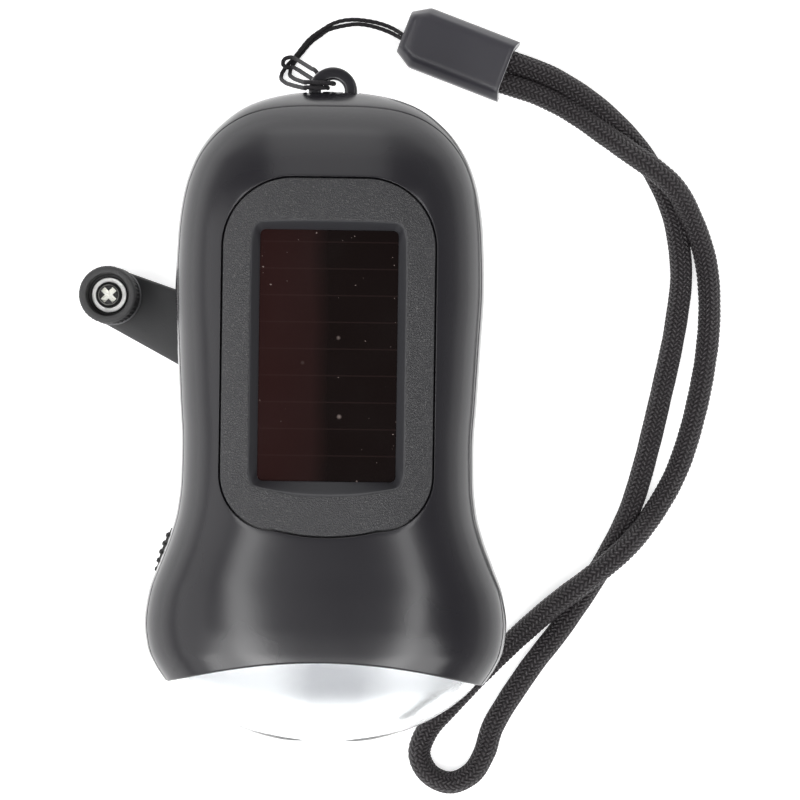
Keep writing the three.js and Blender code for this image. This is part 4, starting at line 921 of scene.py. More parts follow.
def make_front_shell():
    level = SEAM_Z + SEAM_GAP / 2
    x = rim_half
    for _ in range(30):
        w, front, _ = sizes(rim_y(x))
        x = w * (1 - ((level - EQUATOR_Z) / front) ** FRONT_POWER) ** (1 / FRONT_POWER)
    corner = math.atan2(rim_y(x) - CENTRE_Y, x)
    angles = stations(360, corner, math.pi - corner)

    def path(r):
        return np.cos(angles) * r, CENTRE_Y + np.sin(angles) * r

    seam = reach_of(path, lambda x, y: in_skin(x, y, level), len(angles))
    rim = reach_of(path, lambda x, y: y > rim_y(x), len(angles))
    outer = np.minimum(seam, rim)
    at_rim = (rim < seam)[:, None]
    inner = radius_at(panel_outline(GAP), angles)

    def lowered(depth):
        return lambda x, y: np.maximum(front_z(x, y) - depth, level)

    rows = [
        at_ray(angles, inner - LEDGE_WIDTH, lowered(LEDGE_DEPTH)),
        at_ray(angles, inner, lowered(LEDGE_DEPTH)),
        at_ray(angles, inner, lowered(EDGE_ROUND)),
    ]
    rows += bend(rows[-1], at_ray(angles, inner, front_z),
                 at_ray(angles, inner + EDGE_ROUND, front_z), ends=(False, False))
    start, end = inner + EDGE_ROUND, outer - np.where(at_rim[:, 0], RIM_ROUND, SEAM_ROUND)
    for t in np.linspace(0, 1, 56):
        rows.append(at_ray(angles, start + (end - start) * (1 - (1 - t) ** 1.5), front_z))
    edge = at_ray(angles, outer, lambda x, y: np.maximum(front_z(x, y), level))
    edge[~at_rim[:, 0], 2] = level
    in_seam = at_ray(angles, outer - SEAM_TURN, level)
    down = edge - (0, 0, RIM_ROUND)
    turned_in = np.where(at_rim, down, in_seam)
    rows += bend(rows[-1], edge, turned_in, ends=(False, True))
    rows.append(np.where(at_rim, edge - (0, 0, RIM_LIP),
                         at_ray(angles, outer - SEAM_FACE[0], level)))
    rows.append(np.where(at_rim, at_ray(angles, outer - LENS_SEAT, lowered(RIM_LIP)),
                         at_ray(angles, outer - SEAM_FACE[1], level)))
    rows.append(at_ray(angles, outer - LENS_SEAT - 0.1, lowered(WALL)))
    for t in (0.9, 0.75, 0.6, 0.45, 0.3, 0.15, 0):
        reach = inner - LEDGE_WIDTH + (outer - inner) * t
        rows.append(at_ray(angles, reach, lowered(WALL + 0.1)))
    rows = np.array(rows)
    rows[..., 2] = np.maximum(rows[..., 2], level)
    return ring_object("front_shell", rows, loop=True, sharp=40)


dress(make_front_shell(), "casing", casing_black, ["front_shell"])

GLASS_Z = 43.0
FRONT_Z = 46.0
BEVEL_ROUND = 0.35


def make_bezel():
    """The panel's frame, and a test for its bevelled recess."""
    angles = stations(560, *(math.atan2(y - CENTRE_Y, x) for x, y in WINDOW_CORNERS))
    outer = radius_at(panel_outline(0), angles)
    low = radius_at(outline_points(*WINDOW), angles)
    slope = (radius_at(outline_points(*RECESS), angles) - low) / (FRONT_Z - GLASS_Z)
    top = np.full(len(angles), FRONT_Z)
    for _ in range(20):
        x, y, _ = at_ray(angles, low + slope * (top - GLASS_Z), 0).T
        top = front_z(x, y)
    edge_r = low + slope * (top - GLASS_Z)

    def bevel(t):
        return at_ray(angles, low + (edge_r - low) * t, GLASS_Z + (top - GLASS_Z) * t)

    edge = at_ray(angles, edge_r, front_z)
    rim = at_ray(angles, outer, front_z)
    rows = [at_ray(angles, low + 0.4, GLASS_Z - 1.2), at_ray(angles, low, GLASS_Z - 1.2),
            at_ray(angles, low, GLASS_Z - 0.1)]
    rows += bend(rows[-1], bevel(0), bevel(0.06), ends=(False, False))
    rows += [bevel(t) for t in (0.06, 0.35, 0.65, 0.86)]
    start, end = edge_r + BEVEL_ROUND, outer - EDGE_ROUND
    rows += bend(rows[-1], edge, at_ray(angles, start, front_z), ends=(False, False))
    rows += [at_ray(angles, start + (end - start) * t, front_z) for t in np.linspace(0, 1, 12)]
    rows += bend(rows[-1], rim, rim - (0, 0, EDGE_ROUND), ends=(False, True))
    rows.append(rim - (0, 0, 1.0))
    rows.append(at_ray(angles, edge_r + 0.5, lambda x, y: front_z(x, y) - 1.6))
    bezel = ring_object("bezel", rows, loop=True, sharp=40)

    def on_slope(x, y, z):
        turn = np.arctan2(y - CENTRE_Y, x) % (2 * np.pi)
        return np.hypot(x, y - CENTRE_Y) < np.interp(turn, angles, edge_r + 0.1)

    return bezel, on_slope


bezel, on_slope = make_bezel()
dress(bezel, "casing", grained_black, ["bezel"])
also(bezel, smooth_black, on_slope)


# The back shell's mouth: rows back from its rim, its rounding as rows and insets, and how far
# back the arch of the rim is felt
RIM_ROWS = (0, 0.08, 0.2, 0.4, 0.8, 1.6, 2.3, 2.98, 3.02)
RIM_ROUNDING = ((0, 0.08, 0.2, 0.4), (0.3, 0.12, 0.03, 0))
ARCH_REACH = 22

# Heights of its rows between the seam and the equator
SIDE_LEVELS = (36, 35.2, 34.4, 33.6, 32.8, 32, 31.4)


def back_stations():
    """Plan paths out to the skin: across the sides, fanned round the tail."""
    offsets = np.concatenate([RIM_ROWS, np.linspace(4, CENTRE_Y - HEAD_Y, 66)])
    a = HEAD_Y + offsets
    arch = np.clip(1 - offsets / ARCH_REACH, 0, 1) ** 1.3
    fan = np.linspace(0, np.pi, 121)[1:-1]
    n, m = len(a), len(fan)
    return {
        "from_y": np.concatenate([a, np.full(m, CENTRE_Y), a[::-1]]),
        "dx": np.concatenate([np.ones(n), np.cos(fan), -np.ones(n)]),
        "dy": np.concatenate([np.zeros(n), np.sin(fan), np.zeros(n)]),
        "arch": np.concatenate([arch, np.zeros(m), arch[::-1]]),
        "offset": np.concatenate([offsets, np.full(m, FAR), offsets[::-1]]),
    }


def make_hull():
    """The back shell's walls without the gearbox bulge."""
    s = back_stations()
    count = len(s["dx"])
    level = SEAM_Z - SEAM_GAP / 2

    def path(r):
        x = s["dx"] * r
        return x, s["from_y"] + s["dy"] * r + s["arch"] * RIM_ARCH * (1 - (x / rim_half) ** 2)

    def at(r, z):
        x, y = path(r)
        z = z(x, y) if callable(z) else np.broadcast_to(z, x.shape)
        return np.stack([x, y, z], -1)

    def skin(inset):
        """Rows from the seam down the side and under to the middle."""
        rows = []
        for z in (level, level - 0.25, *SIDE_LEVELS, EQUATOR_Z):
            r = reach_of(path, lambda x, y: in_skin(x, y, z, inset), count)
            rows.append((r, at(r, z)))
        equator = rows[-1][0]
        for t in np.linspace(0, 1, 34)[1:]:
            angle = math.pi / 2 * t**1.6
            r = equator * max(math.cos(angle), 0) ** 0.8 if t < 1 else equator * 0
            rows.append((r, at(r, lambda x, y: back_z(x, y, inset))))
        return rows

    outer = skin(np.interp(s["offset"], *RIM_ROUNDING))
    inner = skin(np.where(s["offset"] < LENS_SEAT, RIM_LIP, WALL))
    top_r, top = outer[0]
    chain = [p for _, p in inner[::-1]]
    chain.append(at(np.maximum(top_r - SEAM_TURN, 0), level))
    chain += bend(chain[-1], top, outer[1][1], ends=(False, True))
    chain += [p for _, p in outer[2:]]
    grid = np.array(chain).transpose(1, 0, 2)
    length = grid.shape[1]
    faces = grid_faces(count, length, wrap=False)
    for first in (0, (count - 1) * length):
        for i in range(length // 2 - 1):
            last = first + length - 1 - i
            faces.append((first + i, first + i + 1, last - 1, last))
    return make_object("back_shell", grid.reshape(-1, 3), faces, 40)



# Bulge over the gearbox: its foot and top, half sizes, squareness and how it draws in
PAD_Z = 8.7
BULGE_TOP_Z = 22
BULGE_HALF = (20.5, 34.5)
BULGE_POWER = 2.4
bulge_curve = Smooth((0, 0.03, 0.13, 0.29, 0.5, 1), (0.25, 0.18, 0.1, 0.05, 0.02, 0))
HUB_HOLE = 3.3
RING_STEPS = 160


def bulge_ring(z, inset, share=None):
    """The bulge's outline at a height, or a ring between the hub's hole and its foot."""
    angle = turns(RING_STEPS)
    rise = (z - PAD_Z - inset) / (BULGE_TOP_Z - PAD_Z - inset)
    pull = float(bulge_curve(rise))
    hx, hy = (half * (1 - pull) - inset for half in BULGE_HALF)
    c, s = np.cos(angle), np.sin(angle)
    r = ((np.abs(c) / hx) ** BULGE_POWER + (np.abs(s) / hy) ** BULGE_POWER) ** (-1 / BULGE_POWER)
    if share is not None:
        r = HUB_HOLE + (r - HUB_HOLE) * share
    return np.stack([c * r, s * r, np.full(RING_STEPS, z)], -1)


# Bosses and bores of the case screws, the switch's slot and the pockets of the lanyard eyelet
BOSS_RADIUS = 3.3
BOSS_TOP = 36.8
HEAD_BORE = 2.7
SHANK_BORE = 1.5
SCREW_HEAD = 1.9
SWITCH_SLOT = ((-4.55, -2, -2.6), (7.55, 3.4, 2.6))
EYELET_POCKETS = (
    ((-4.4, 48.1, 29.5), (-1.7, 53, 32.5)),
    ((1.7, 48.1, 29.5), (4.4, 53, 32.5)),
    ((-4.4, 48.1, 29.5), (4.4, 49.8, 32.5)),
)


def make_back_shell():
    shell = make_hull()
    heights = [PAD_Z + (BULGE_TOP_Z - PAD_Z) * t**1.7 for t in np.linspace(0, 1, 26)]
    inner_z = PAD_Z + WALL
    room = [z for z in heights if z > inner_z + 0.1]
    bulge = ring_object("bulge", [
        bulge_ring(inner_z, WALL, 0), bulge_ring(PAD_Z, 0, 0),
        *(bulge_ring(PAD_Z, 0, t) for t in (0.3, 0.6, 0.9)),
        *(bulge_ring(z, 0) for z in heights),
        *(bulge_ring(z, WALL) for z in room[::-1]),
        bulge_ring(inner_z, WALL),
        *(bulge_ring(inner_z, WALL, t) for t in (0.9, 0.5)),
    ], loop=True)
    space = ring_object("space", [bulge_ring(z, WALL) for z in [inner_z, *room, BULGE_TOP_Z]])
    cut(shell, space)
    cut(shell, bulge, operation="UNION")
    for x, y, seat in CASE_SCREWS:
        cut(shell, rod("boss", BOSS_RADIUS, seat - 1.0, BOSS_TOP, x, y), operation="UNION")
        cut(shell, rod("bore", HEAD_BORE, 0, seat, x, y), rod("bore", SHANK_BORE, 0, 50, x, y))
    cut(shell, at_switch(box_object("slot", *SWITCH_SLOT)))
    for pocket in EYELET_POCKETS:
        cut(shell, box_object("pocket", *pocket))
    clean(shell, 40)
    return shell


def screw_seat(x, y):
    return float(back_z(x, y)) + SCREW_HEAD


CASE_SCREWS = [
    (x, y, screw_seat(x, y))
    for x, y in ((-14.5, 39.5), (14.5, 39.5), (-19, -21), (19, -21))
]
SWITCH_Y = -27
SWITCH_Z = 30.2
SWITCH_ANGLE = math.radians(-107.5)
switch_x = -float(sizes(SWITCH_Y)[0])


def at_switch(obj):
    """Moves a mesh to the switch's place: +X along the wall, +Y into the casing."""
    return moved(obj, SWITCH_ANGLE, (switch_x, SWITCH_Y, SWITCH_Z))


dress(make_back_shell(), "casing", casing_black, ["back_shell"])


# Lens and reflector

LENS_BULGE = 10.6
LENS_WALL = 1.5
LENS_POWER = 0.82
LENS_INSET = RIM_LIP + 0.4


def rim_ring(inset, offset):
    """Points round the rim of the head, moved in and back."""
    angle = turns(RING_STEPS)
    c, s = np.cos(angle), np.sin(angle)
    power = np.where(s >= 0, FRONT_POWER, BACK_POWER)
    y = np.full(RING_STEPS, HEAD_Y)
    for _ in range(8):
        w, front, back = sizes(np.maximum(y, HEAD_Y))
        x = np.sign(c) * np.abs(c) ** (2 / power) * (w - inset)
        z = np.sign(s) * np.abs(s) ** (2 / power) * (np.where(s >= 0, front, back) - inset)
        y = rim_y(x) + offset
    return np.stack([x, y, EQUATOR_Z + z], -1)


def dome_ring(inset, apex, share):
    """A ring of the lens's dome, at a share of the rim's size."""
    edge = rim_ring(inset, 0)
    grown = (1 - np.broadcast_to(share, len(edge)) ** 2) ** LENS_POWER
    return np.stack([
        edge[:, 0] * share,
        edge[:, 1] + (apex - edge[:, 1]) * grown,
        EQUATOR_Z + (edge[:, 2] - EQUATOR_Z) * share,
    ], -1)


def make_lens():
    apex = HEAD_Y - LENS_BULGE
    shares = np.sin(np.linspace(0.012, math.pi / 2, 30))
    rings = [dome_ring(LENS_INSET, apex, s) for s in shares]
    rings += [rim_ring(LENS_INSET, o) for o in (1.0, 2.6)]
    rings += [rim_ring(LENS_INSET + 0.1, 2.7), rim_ring(LENS_INSET + LENS_WALL, 2.7),
              rim_ring(LENS_INSET + LENS_WALL, 1.0)]
    rings += [dome_ring(LENS_INSET + LENS_WALL, apex + LENS_WALL, s) for s in shares[::-1]]
    return ring_object("lens", rings, sharp=50)


REFLECTOR_BACK = -33.8
REFLECTOR_HALF = (17, 7.5)
LIP_SHARE = 0.5
LIP_WALL = 0.6
LED_PLACES = (-10, 0, 10)
LED_HOLE = 2.8


def make_reflector():
    """The silver bowl, whose low lip follows the lens forward."""
    inset = LENS_INSET + LENS_WALL + GAP
    tip = HEAD_Y - LENS_BULGE + LENS_WALL + GAP
    half_x, half_z = REFLECTOR_HALF

    def bowl(extra, depth_y):
        front = rim_ring(inset + extra, GAP)
        w, rise, _ = sizes(HEAD_Y)
        section = rim_ring(inset, 0)
        back = np.stack([
            section[:, 0] * (half_x - extra) / (w - inset),
            np.full(len(section), depth_y),
            EQUATOR_Z + (section[:, 2] - EQUATOR_Z) * (half_z - extra) / (rise - inset),
        ], -1)
        rings = []
        for t in np.linspace(0, 1, 14):
            out, ahead = 1 - (1 - t) ** 1.9, t**1.45
            ring = back + (front - back) * out
            ring[:, 1] = back[:, 1] + (front[:, 1] - back[:, 1]) * ahead
            rings.append(ring)
        return rings

    low_side = np.clip(-np.sin(turns(RING_STEPS)), 0, 1) ** 1.2

    def lip(extra):
        return [dome_ring(inset + extra, tip + extra, 1 - LIP_SHARE * t * low_side)
                for t in np.linspace(0.02, 1, 14)]

    cup = ring_object("reflector", [
        *bowl(0, REFLECTOR_BACK), *lip(0), *lip(LIP_WALL)[::-1],
        *bowl(1, REFLECTOR_BACK - 1)[::-1],
    ], sharp=50)
    for x in LED_PLACES:
        cut(cup, lathe("hole", [(LED_HOLE, REFLECTOR_BACK - 3), (LED_HOLE, REFLECTOR_BACK + 3)],
                       (x, 0, EQUATOR_Z), "y"))
    clean(cup, 50)
    edge = dome_ring(inset, tip, 1 - LIP_SHARE * low_side)
    edge = edge[edge[:, 2] <= EQUATOR_Z + 0.01]
    edge = edge[np.argsort(edge[:, 0])]
    fade = cup.data.attributes.new("fade", "FLOAT", "POINT")
    for k, v in enumerate(cup.data.vertices):
        x, y = v.co.x / MM, v.co.y / MM
        rim, free = float(rim_y(x)), float(np.interp(x, edge[:, 0], edge[:, 1]))
        fade.data[k].value = min(max((rim - y) / max(rim - free, 0.5), 0), 1)
    return cup


def clear(name, tint, rough, ior=1.49, window=None):
    """Clear plastic; with a window, it is polished there and hazy round it."""
    n = Nodes(name)
    if window:
        x, z = window
        near = n.add("ShaderNodeMapping")
        near.inputs["Location"].default_value = (0, 0, -EQUATOR_Z / z)
        near.inputs["Scale"].default_value = (1 / (x * MM), 0, 1 / (z * MM))
        n.put(near.inputs["Vector"], n.place)
        length = n.add("ShaderNodeVectorMath", operation="LENGTH")
        n.put(length.inputs[0], near.outputs["Vector"])
        rough = n.span(length.outputs["Value"], 0.8, 1.3, 0.09, rough)
    n.set(Base_Color=colour(*tint), Roughness=rough, IOR=ior, Transmission_Weight=1.0)
    n.bump(n.noise(60, 2), 0.3, 0.00002)
    return n.material


# Half width and height of the lens's polished middle, over the lamps
LENS_WINDOW = (13, 7.5)
lens_clear = clear("lens_clear", (0.97, 0.985, 0.99), 0.2, 1.3, LENS_WINDOW)
lamp_clear = clear("lamp_clear", (0.95, 0.96, 0.97), 0.12)


def vacuum_silver():
    """Bright plating on moulded plastic, softly grained."""
    n = Nodes("silver")
    grain = n.noise(2400, 2)
    cloud = n.noise(120, 2)
    n.set(Base_Color=n.mix(cloud, colour(0.93, 0.93, 0.94), colour(0.97, 0.97, 0.98)),
          Roughness=n.span(grain, *NOISE, 0.35, 0.55), Metallic=0.2)
    n.bump(grain, 0.7, 0.00006)
    return n.material


def frosted():
    """Clear plastic with a fine frost, on the lip that the lens covers, with a painted shade over
    its middle.
    """
    n = Nodes("frosted")
    # Painted shade: darker colour within a few millimetres of the middle, fading out by twelve
    side = n.math("ABSOLUTE", n.math("ADD", n.parts(n.place)["X"], -0.0015))
    middle = n.span(side, 0.004, 0.012)
    grain = n.noise(2600, 2)
    tone = n.math("ADD", middle, n.span(grain, 0.35, 0.7, 0.0, 0.4))
    fade = n.stored("fade")["Fac"]
    tone = n.math("ADD", tone, n.span(fade, 0.7, 1.0))
    n.set(Base_Color=n.mix(tone, colour(0.55, 0.55, 0.57), colour(0.97, 0.97, 0.98)),
          Roughness=n.span(fade, 0.6, 1.0, 0.5, 0.1), IOR=1.2,
          Transmission_Weight=n.span(fade, 0.6, 1.0, 0.5, 0.97))
    n.bump(grain, 0.7, 0.00005)
    return n.material


silver = vacuum_silver()
dress(make_lens(), "casing", lens_clear, ["lens"])
reflector = dress(make_reflector(), "casing", silver, ["reflector"])
also(reflector, frosted(), lambda x, y, z: y < float(rim_y(x)) + GAP)

LED_BACK = REFLECTOR_BACK + GAP + 1
LED_RADIUS = 2.5
LED_LENGTH = 3.5
LED_COLLAR = ((2.85, 0), (2.9, -0.1), (2.9, -0.9), (2.85, -1), (2.52, -1.02))
for k, x in enumerate(LED_PLACES, 1):
    nose = [(LED_RADIUS * math.cos(a), -LED_LENGTH - LED_RADIUS * math.sin(a))
            for a in np.linspace(0, 1.5, 10)]
    led = lathe(f"led_{k}", [*LED_COLLAR, *nose], (x, LED_BACK, EQUATOR_Z), "y", 40)
    dress(led, "casing", lamp_clear, [f"led_{k}"])


# Crank

ARM_THICK = 4.5
KNOB_Z = 4.8
KNOB_TOP = 16.5
PIN_BORE = 1.3
HUB_PROFILE = ((13.4, 0), (13.9, 0), (14, 0.1), (14, 8), (3, 8), (3, 13.1), (1.6, 13.1),
               (1.5, 13.0), (1.5, 8.1))
HUB_SLOT = ((-16, -8.8, -2), (16, 8.8, 5.8))
HUB_PIN_REACH = 11.3
ARM_PIN_REACH = 12
ARM_ROOT = 8.5
ARM_END = 4.95
ARM_HEEL = 2.2
ARM_CHAMFER = 0.5
ARM_EDGE = 0.55
ARM_BORE = 1.5



def pin_hole(reach):
    """A tool that cuts the hinge pin's bore."""
    return lathe("pin", [(PIN_BORE, -reach), (PIN_BORE, reach)], (0, 0, ARM_THICK / 2), "y", 32)


def make_hub():
    hub = lathe("crank_hub", rounded_profile(HUB_PROFILE, 0.5), (0, 0, 0), steps=128)
    cut(hub, box_object("slot", *HUB_SLOT))
    cut(hub, pin_hole(HUB_PIN_REACH))
    clean(hub, 40)
    return moved(hub, ARM_ANGLE)


def arm_outline(inset):
    root, end = ARM_ROOT - inset, ARM_END - inset
    heel, step = -ARM_HEEL + inset, ARM_CHAMFER
    points = [(heel, -root + step), (ARM_CHAMFER - ARM_HEEL + inset, -root), (0, -root)]
    points += [(CRANK_RADIUS * t, -root + (root - end) * t) for t in (0.25, 0.5, 0.75)]
    for a in np.linspace(-90, 90, 33):
        a = math.radians(a)
        points.append((CRANK_RADIUS + end * math.cos(a), end * math.sin(a)))
    points += [(CRANK_RADIUS * t, root - (root - end) * t) for t in (0.75, 0.5, 0.25)]
    points += [(0, root), (ARM_CHAMFER - ARM_HEEL + inset, root), (heel, root - step)]
    return np.array(points)


def make_arm():
    quarter = [(ARM_EDGE * (1 - math.cos(a)), ARM_EDGE * (1 - math.sin(a)))
               for a in np.radians(np.linspace(0, 90, 6))]
    rings = quarter[::-1] + [(inset, ARM_THICK - z) for inset, z in quarter]
    skin = [np.column_stack([arm_outline(i), np.full(len(arm_outline(i)), z)]) for i, z in rings]
    arm = ring_object("crank_arm", skin, sharp=40)
    cut(arm, pin_hole(ARM_PIN_REACH))
    cut(arm, rod("bore", ARM_BORE, 1.0, 6, CRANK_RADIUS, 0))
    clean(arm, 40)
    return moved(arm, ARM_ANGLE)


# The knob's skin: radius, height from its foot or its top, and depth of its ribs
KNOB_RIBS = 40
KNOB_STEPS = 288
KNOB_FOOT_ROWS = ((1.6, 0, 0), (4.7, 0, 0), (5.0, 0.06, 0), (5.09, 0.2, 0), (5.13, 0.66, 0),
                  (5.1, 0.84, 0), (5.0, 0.97, 0), (4.86, 1.02, 0), (4.76, 1.06, 0),
                  (4.96, 1.5, 0.2))
KNOB_TOP_ROWS = ((5.02, -1.2, 0.2), (5.03, -0.7, 0.1), (4.97, -0.35, 0), (4.8, -0.12, 0),
                 (4.6, -0.02, 0), (4.45, 0, 0), (3.95, 0, 0), (3.78, -0.06, 0), (3.7, -0.25, 0),
                 (3.68, -4.6, 0), (3.5, -4.8, 0), (1.6, -4.8, 0))


def make_knob():
    angle = turns(KNOB_STEPS)
    rib = 0.5 + 0.5 * np.cos(angle * KNOB_RIBS)
    rings = []
    for level, rows in ((KNOB_Z, KNOB_FOOT_ROWS), (KNOB_TOP, KNOB_TOP_ROWS)):
        for radius, height, ribbed in rows:
            r = radius - ribbed * rib
            rings.append(np.stack([KNOB_X + np.cos(angle) * r, KNOB_Y + np.sin(angle) * r,
                                   np.full(KNOB_STEPS, float(level + height))], -1))
    return ring_object("knob", rings, loop=True)


def cross_cutter(x, y, top, reach, width, depth):
    """Two tapered bars that cut a cross recess."""
    tools = []
    for turn in (math.pi / 4, -math.pi / 4):
        rings = []
        for z, grow in ((top - depth, -0.25), (top + 0.6, 0.05)):
            hx, hy = reach + grow, width / 2 + grow * 0.2
            c, s = math.cos(turn), math.sin(turn)
            rings.append([(x + px * c - py * s, y + px * s + py * c, z)
                          for px, py in ((-hx, -hy), (hx, -hy), (hx, hy), (-hx, hy))])
        tools.append(ring_object("cross", rings))
    return tools


def make_screw(name, x, y, foot, seat, top, shank, head, cross, turn_up=True, width=0.55):
    """A round-headed screw with a cross recess; its head is above or below its shank."""
    sign = 1 if turn_up else -1
    profile = [(shank * 0.6, foot), (shank, foot + sign * 0.4), (shank, seat), (head - 0.1, seat),
               (head, seat + sign * 0.15)]
    height = abs(top - seat)
    for a in np.linspace(0.15, 1.35, 8):
        profile.append((head * math.cos(a) ** 0.6, seat + sign * height * math.sin(a) ** 0.9))
    profile.append((0.05, top))
    screw = lathe(name, profile, (x, y, 0), steps=64)
    tools = cross_cutter(x, y, top, cross, width, 0.8)
    if not turn_up:
        for tool in tools:
            for v in tool.data.vertices:
                v.co.z = 2 * top * MM - v.co.z
            clean(tool)
    cut(screw, *tools)
    clean(screw)
    return screw


dress(make_hub(), "hub", arm_black, ["crank_hub"])
dress(make_arm(), "arm", arm_black, ["crank_arm"])
knob = dress(make_knob(), "knob", knob_black, ["knob"])
for material, low, high, least in (
    # painted shade on the ribbed side
    (painted_shade_ribs, KNOB_Z + 1.05, KNOB_TOP - 0.5, 4.3),
    # painted highlight on the foot lip
    (painted_highlight_lip, KNOB_Z + 0.75, KNOB_Z + 1.0, 4.8),
):
    also(knob, material, lambda x, y, z: low < z < high
         and math.hypot(x - KNOB_X, y - KNOB_Y) > least)
WASHER_PROFILE = ((1.5, 12.4), (1.5, 12.0), (3.05, 12.0), (3.05, 12.5), (1.5, 12.5), (1.5, 12.45))
washer = lathe("knob_washer", rounded_profile(WASHER_PROFILE, 0.12), (KNOB_X, KNOB_Y, 0), steps=96)
dress(washer, "arm", washer_steel, ["knob_washer"])
knob_screw = make_screw("knob_screw", KNOB_X, KNOB_Y, 1.3, 12.8, 14.1, 1.2, 2.3, 1.6,
                        width=1.0)
dress(knob_screw, "arm", screw_black, ["knob_screw"])
for k, (x, y, seat) in enumerate(CASE_SCREWS, 1):
    screw = make_screw(f"case_screw_{k}", x, y, 39.5, seat - GAP, seat - SCREW_HEAD,
                       1.2, 2.4, 1.5, False)
    dress(screw, "casing", black_steel, [f"case_screw_{k}"])


# Switch and eyelet


def rounded_box(low, high, radius, segments=3):
    """A box with rounded edges, as a loose mesh."""
    bm = bmesh.new()
    bmesh.ops.create_cube(bm, size=1)
    for v in bm.verts:
        v.co = Vector([(low[i] + (high[i] - low[i]) * (v.co[i] + 0.5)) * MM for i in range(3)])
    if radius:
        bmesh.ops.bevel(bm, geom=list(bm.edges), offset=radius * MM, segments=segments,
                        affect="EDGES", profile=0.5)
    return bm


def joined(name, parts):
    """One object from several loose meshes."""
    bm = bmesh.new()
    for part in parts:
        mesh = bpy.data.meshes.new("piece")
        part.to_mesh(mesh)
        part.free()
        bm.from_mesh(mesh)
        bpy.data.meshes.remove(mesh)
    mesh = bpy.data.meshes.new(name)
    bm.to_mesh(mesh)
    bm.free()
    shade(mesh, SHARP)
    return linked(name, mesh)


# The slider's foot, the ridges it is built of and the ribs on it, along the wall
SLIDER_FOOT = ((-5.25, 3.1, -3.3), (5.25, 4.0, 3.3))
SLIDER_HALF = 4.25
SLIDER_HALF_HEIGHT = 2.3
SLIDER_BOW = 0.42
RIDGES = 10
RIDGE_PITCH = 0.85
RIDGE_OVERLAP = 0.1
RIBS = 5
RIB_PITCH = 1.5
RIB_HALF = 0.42
RIB_HEIGHT = 0.34


def make_slider():
    """A thumb piece whose ridged face bows out a little from the wall."""
    def face(x):
        return -SLIDER_BOW + SLIDER_BOW * (x / SLIDER_HALF) ** 2

    def block(low_x, high_x, low_y, high_y, radius, segments):
        return rounded_box((low_x, low_y, -SLIDER_HALF_HEIGHT),
                           (high_x, high_y, SLIDER_HALF_HEIGHT), radius, segments)

    parts = [rounded_box(*SLIDER_FOOT, 0)]
    for i in range(RIDGES):
        low = -SLIDER_HALF + i * RIDGE_PITCH
        parts.append(block(low - RIDGE_OVERLAP, low + (RIDGE_PITCH + RIDGE_OVERLAP),
                           face(low + RIDGE_PITCH / 2), 3.4, 0.1, 2))
    for i in range(RIBS):
        middle = (i - RIBS // 2) * RIB_PITCH
        parts.append(block(middle - RIB_HALF, middle + RIB_HALF, face(middle) - RIB_HEIGHT, 0.6,
                           0.3, 4))
    return at_switch(joined("switch_slider", parts))


# The eyelet's wire: middle radius, half sizes and rounding of its section, and where it starts
EYELET_RADIUS = 3.05
EYELET_HALF = (1.05, 1.2)
EYELET_ROUND = 0.45
EYELET_FOOT_Y = 48.4
EYELET_LEG_Y = 50
EYELET_FOOT = ((-4.1, EYELET_FOOT_Y, 29.8), (4.1, 49.5, 32.2))


def make_eyelet():
    """A bent wire of rounded section on a foot inside the tail."""
    middle, r = EYELET_RADIUS, EYELET_ROUND
    across, up = (half - r for half in EYELET_HALF)
    section = []
    for cx, cy, start in ((across, up, 0), (-across, up, 90), (-across, -up, 180),
                          (across, -up, 270)):
        for a in np.linspace(0, 90, 6):
            a = math.radians(start + a)
            section.append((cx + r * math.cos(a), cy + r * math.sin(a)))
    section = np.array(section)
    track = [(middle, EYELET_FOOT_Y, 0.0), (middle, EYELET_LEG_Y, 0.0)]
    track += [(middle * math.cos(a), TAIL_Y + middle * math.sin(a), a)
              for a in np.linspace(0, math.pi, 41)]
    track += [(-middle, EYELET_LEG_Y, math.pi), (-middle, EYELET_FOOT_Y, math.pi)]
    rings = []
    for x, y, a in track:
        ca, sa = math.cos(a), math.sin(a)
        rings.append([(x + u * ca, y + u * sa, EQUATOR_Z + v) for u, v in section])
    eye = ring_object("lanyard_eyelet", rings, sharp=50)
    bm = rounded_box(*EYELET_FOOT, 0.2)
    bm.from_mesh(eye.data)
    bm.to_mesh(eye.data)
    bm.free()
    shade(eye.data, 50)
    return eye


dress(make_slider(), "slider", inner_black, ["switch_slider"])
dress(make_eyelet(), "casing", casing_black, ["lanyard_eyelet"])


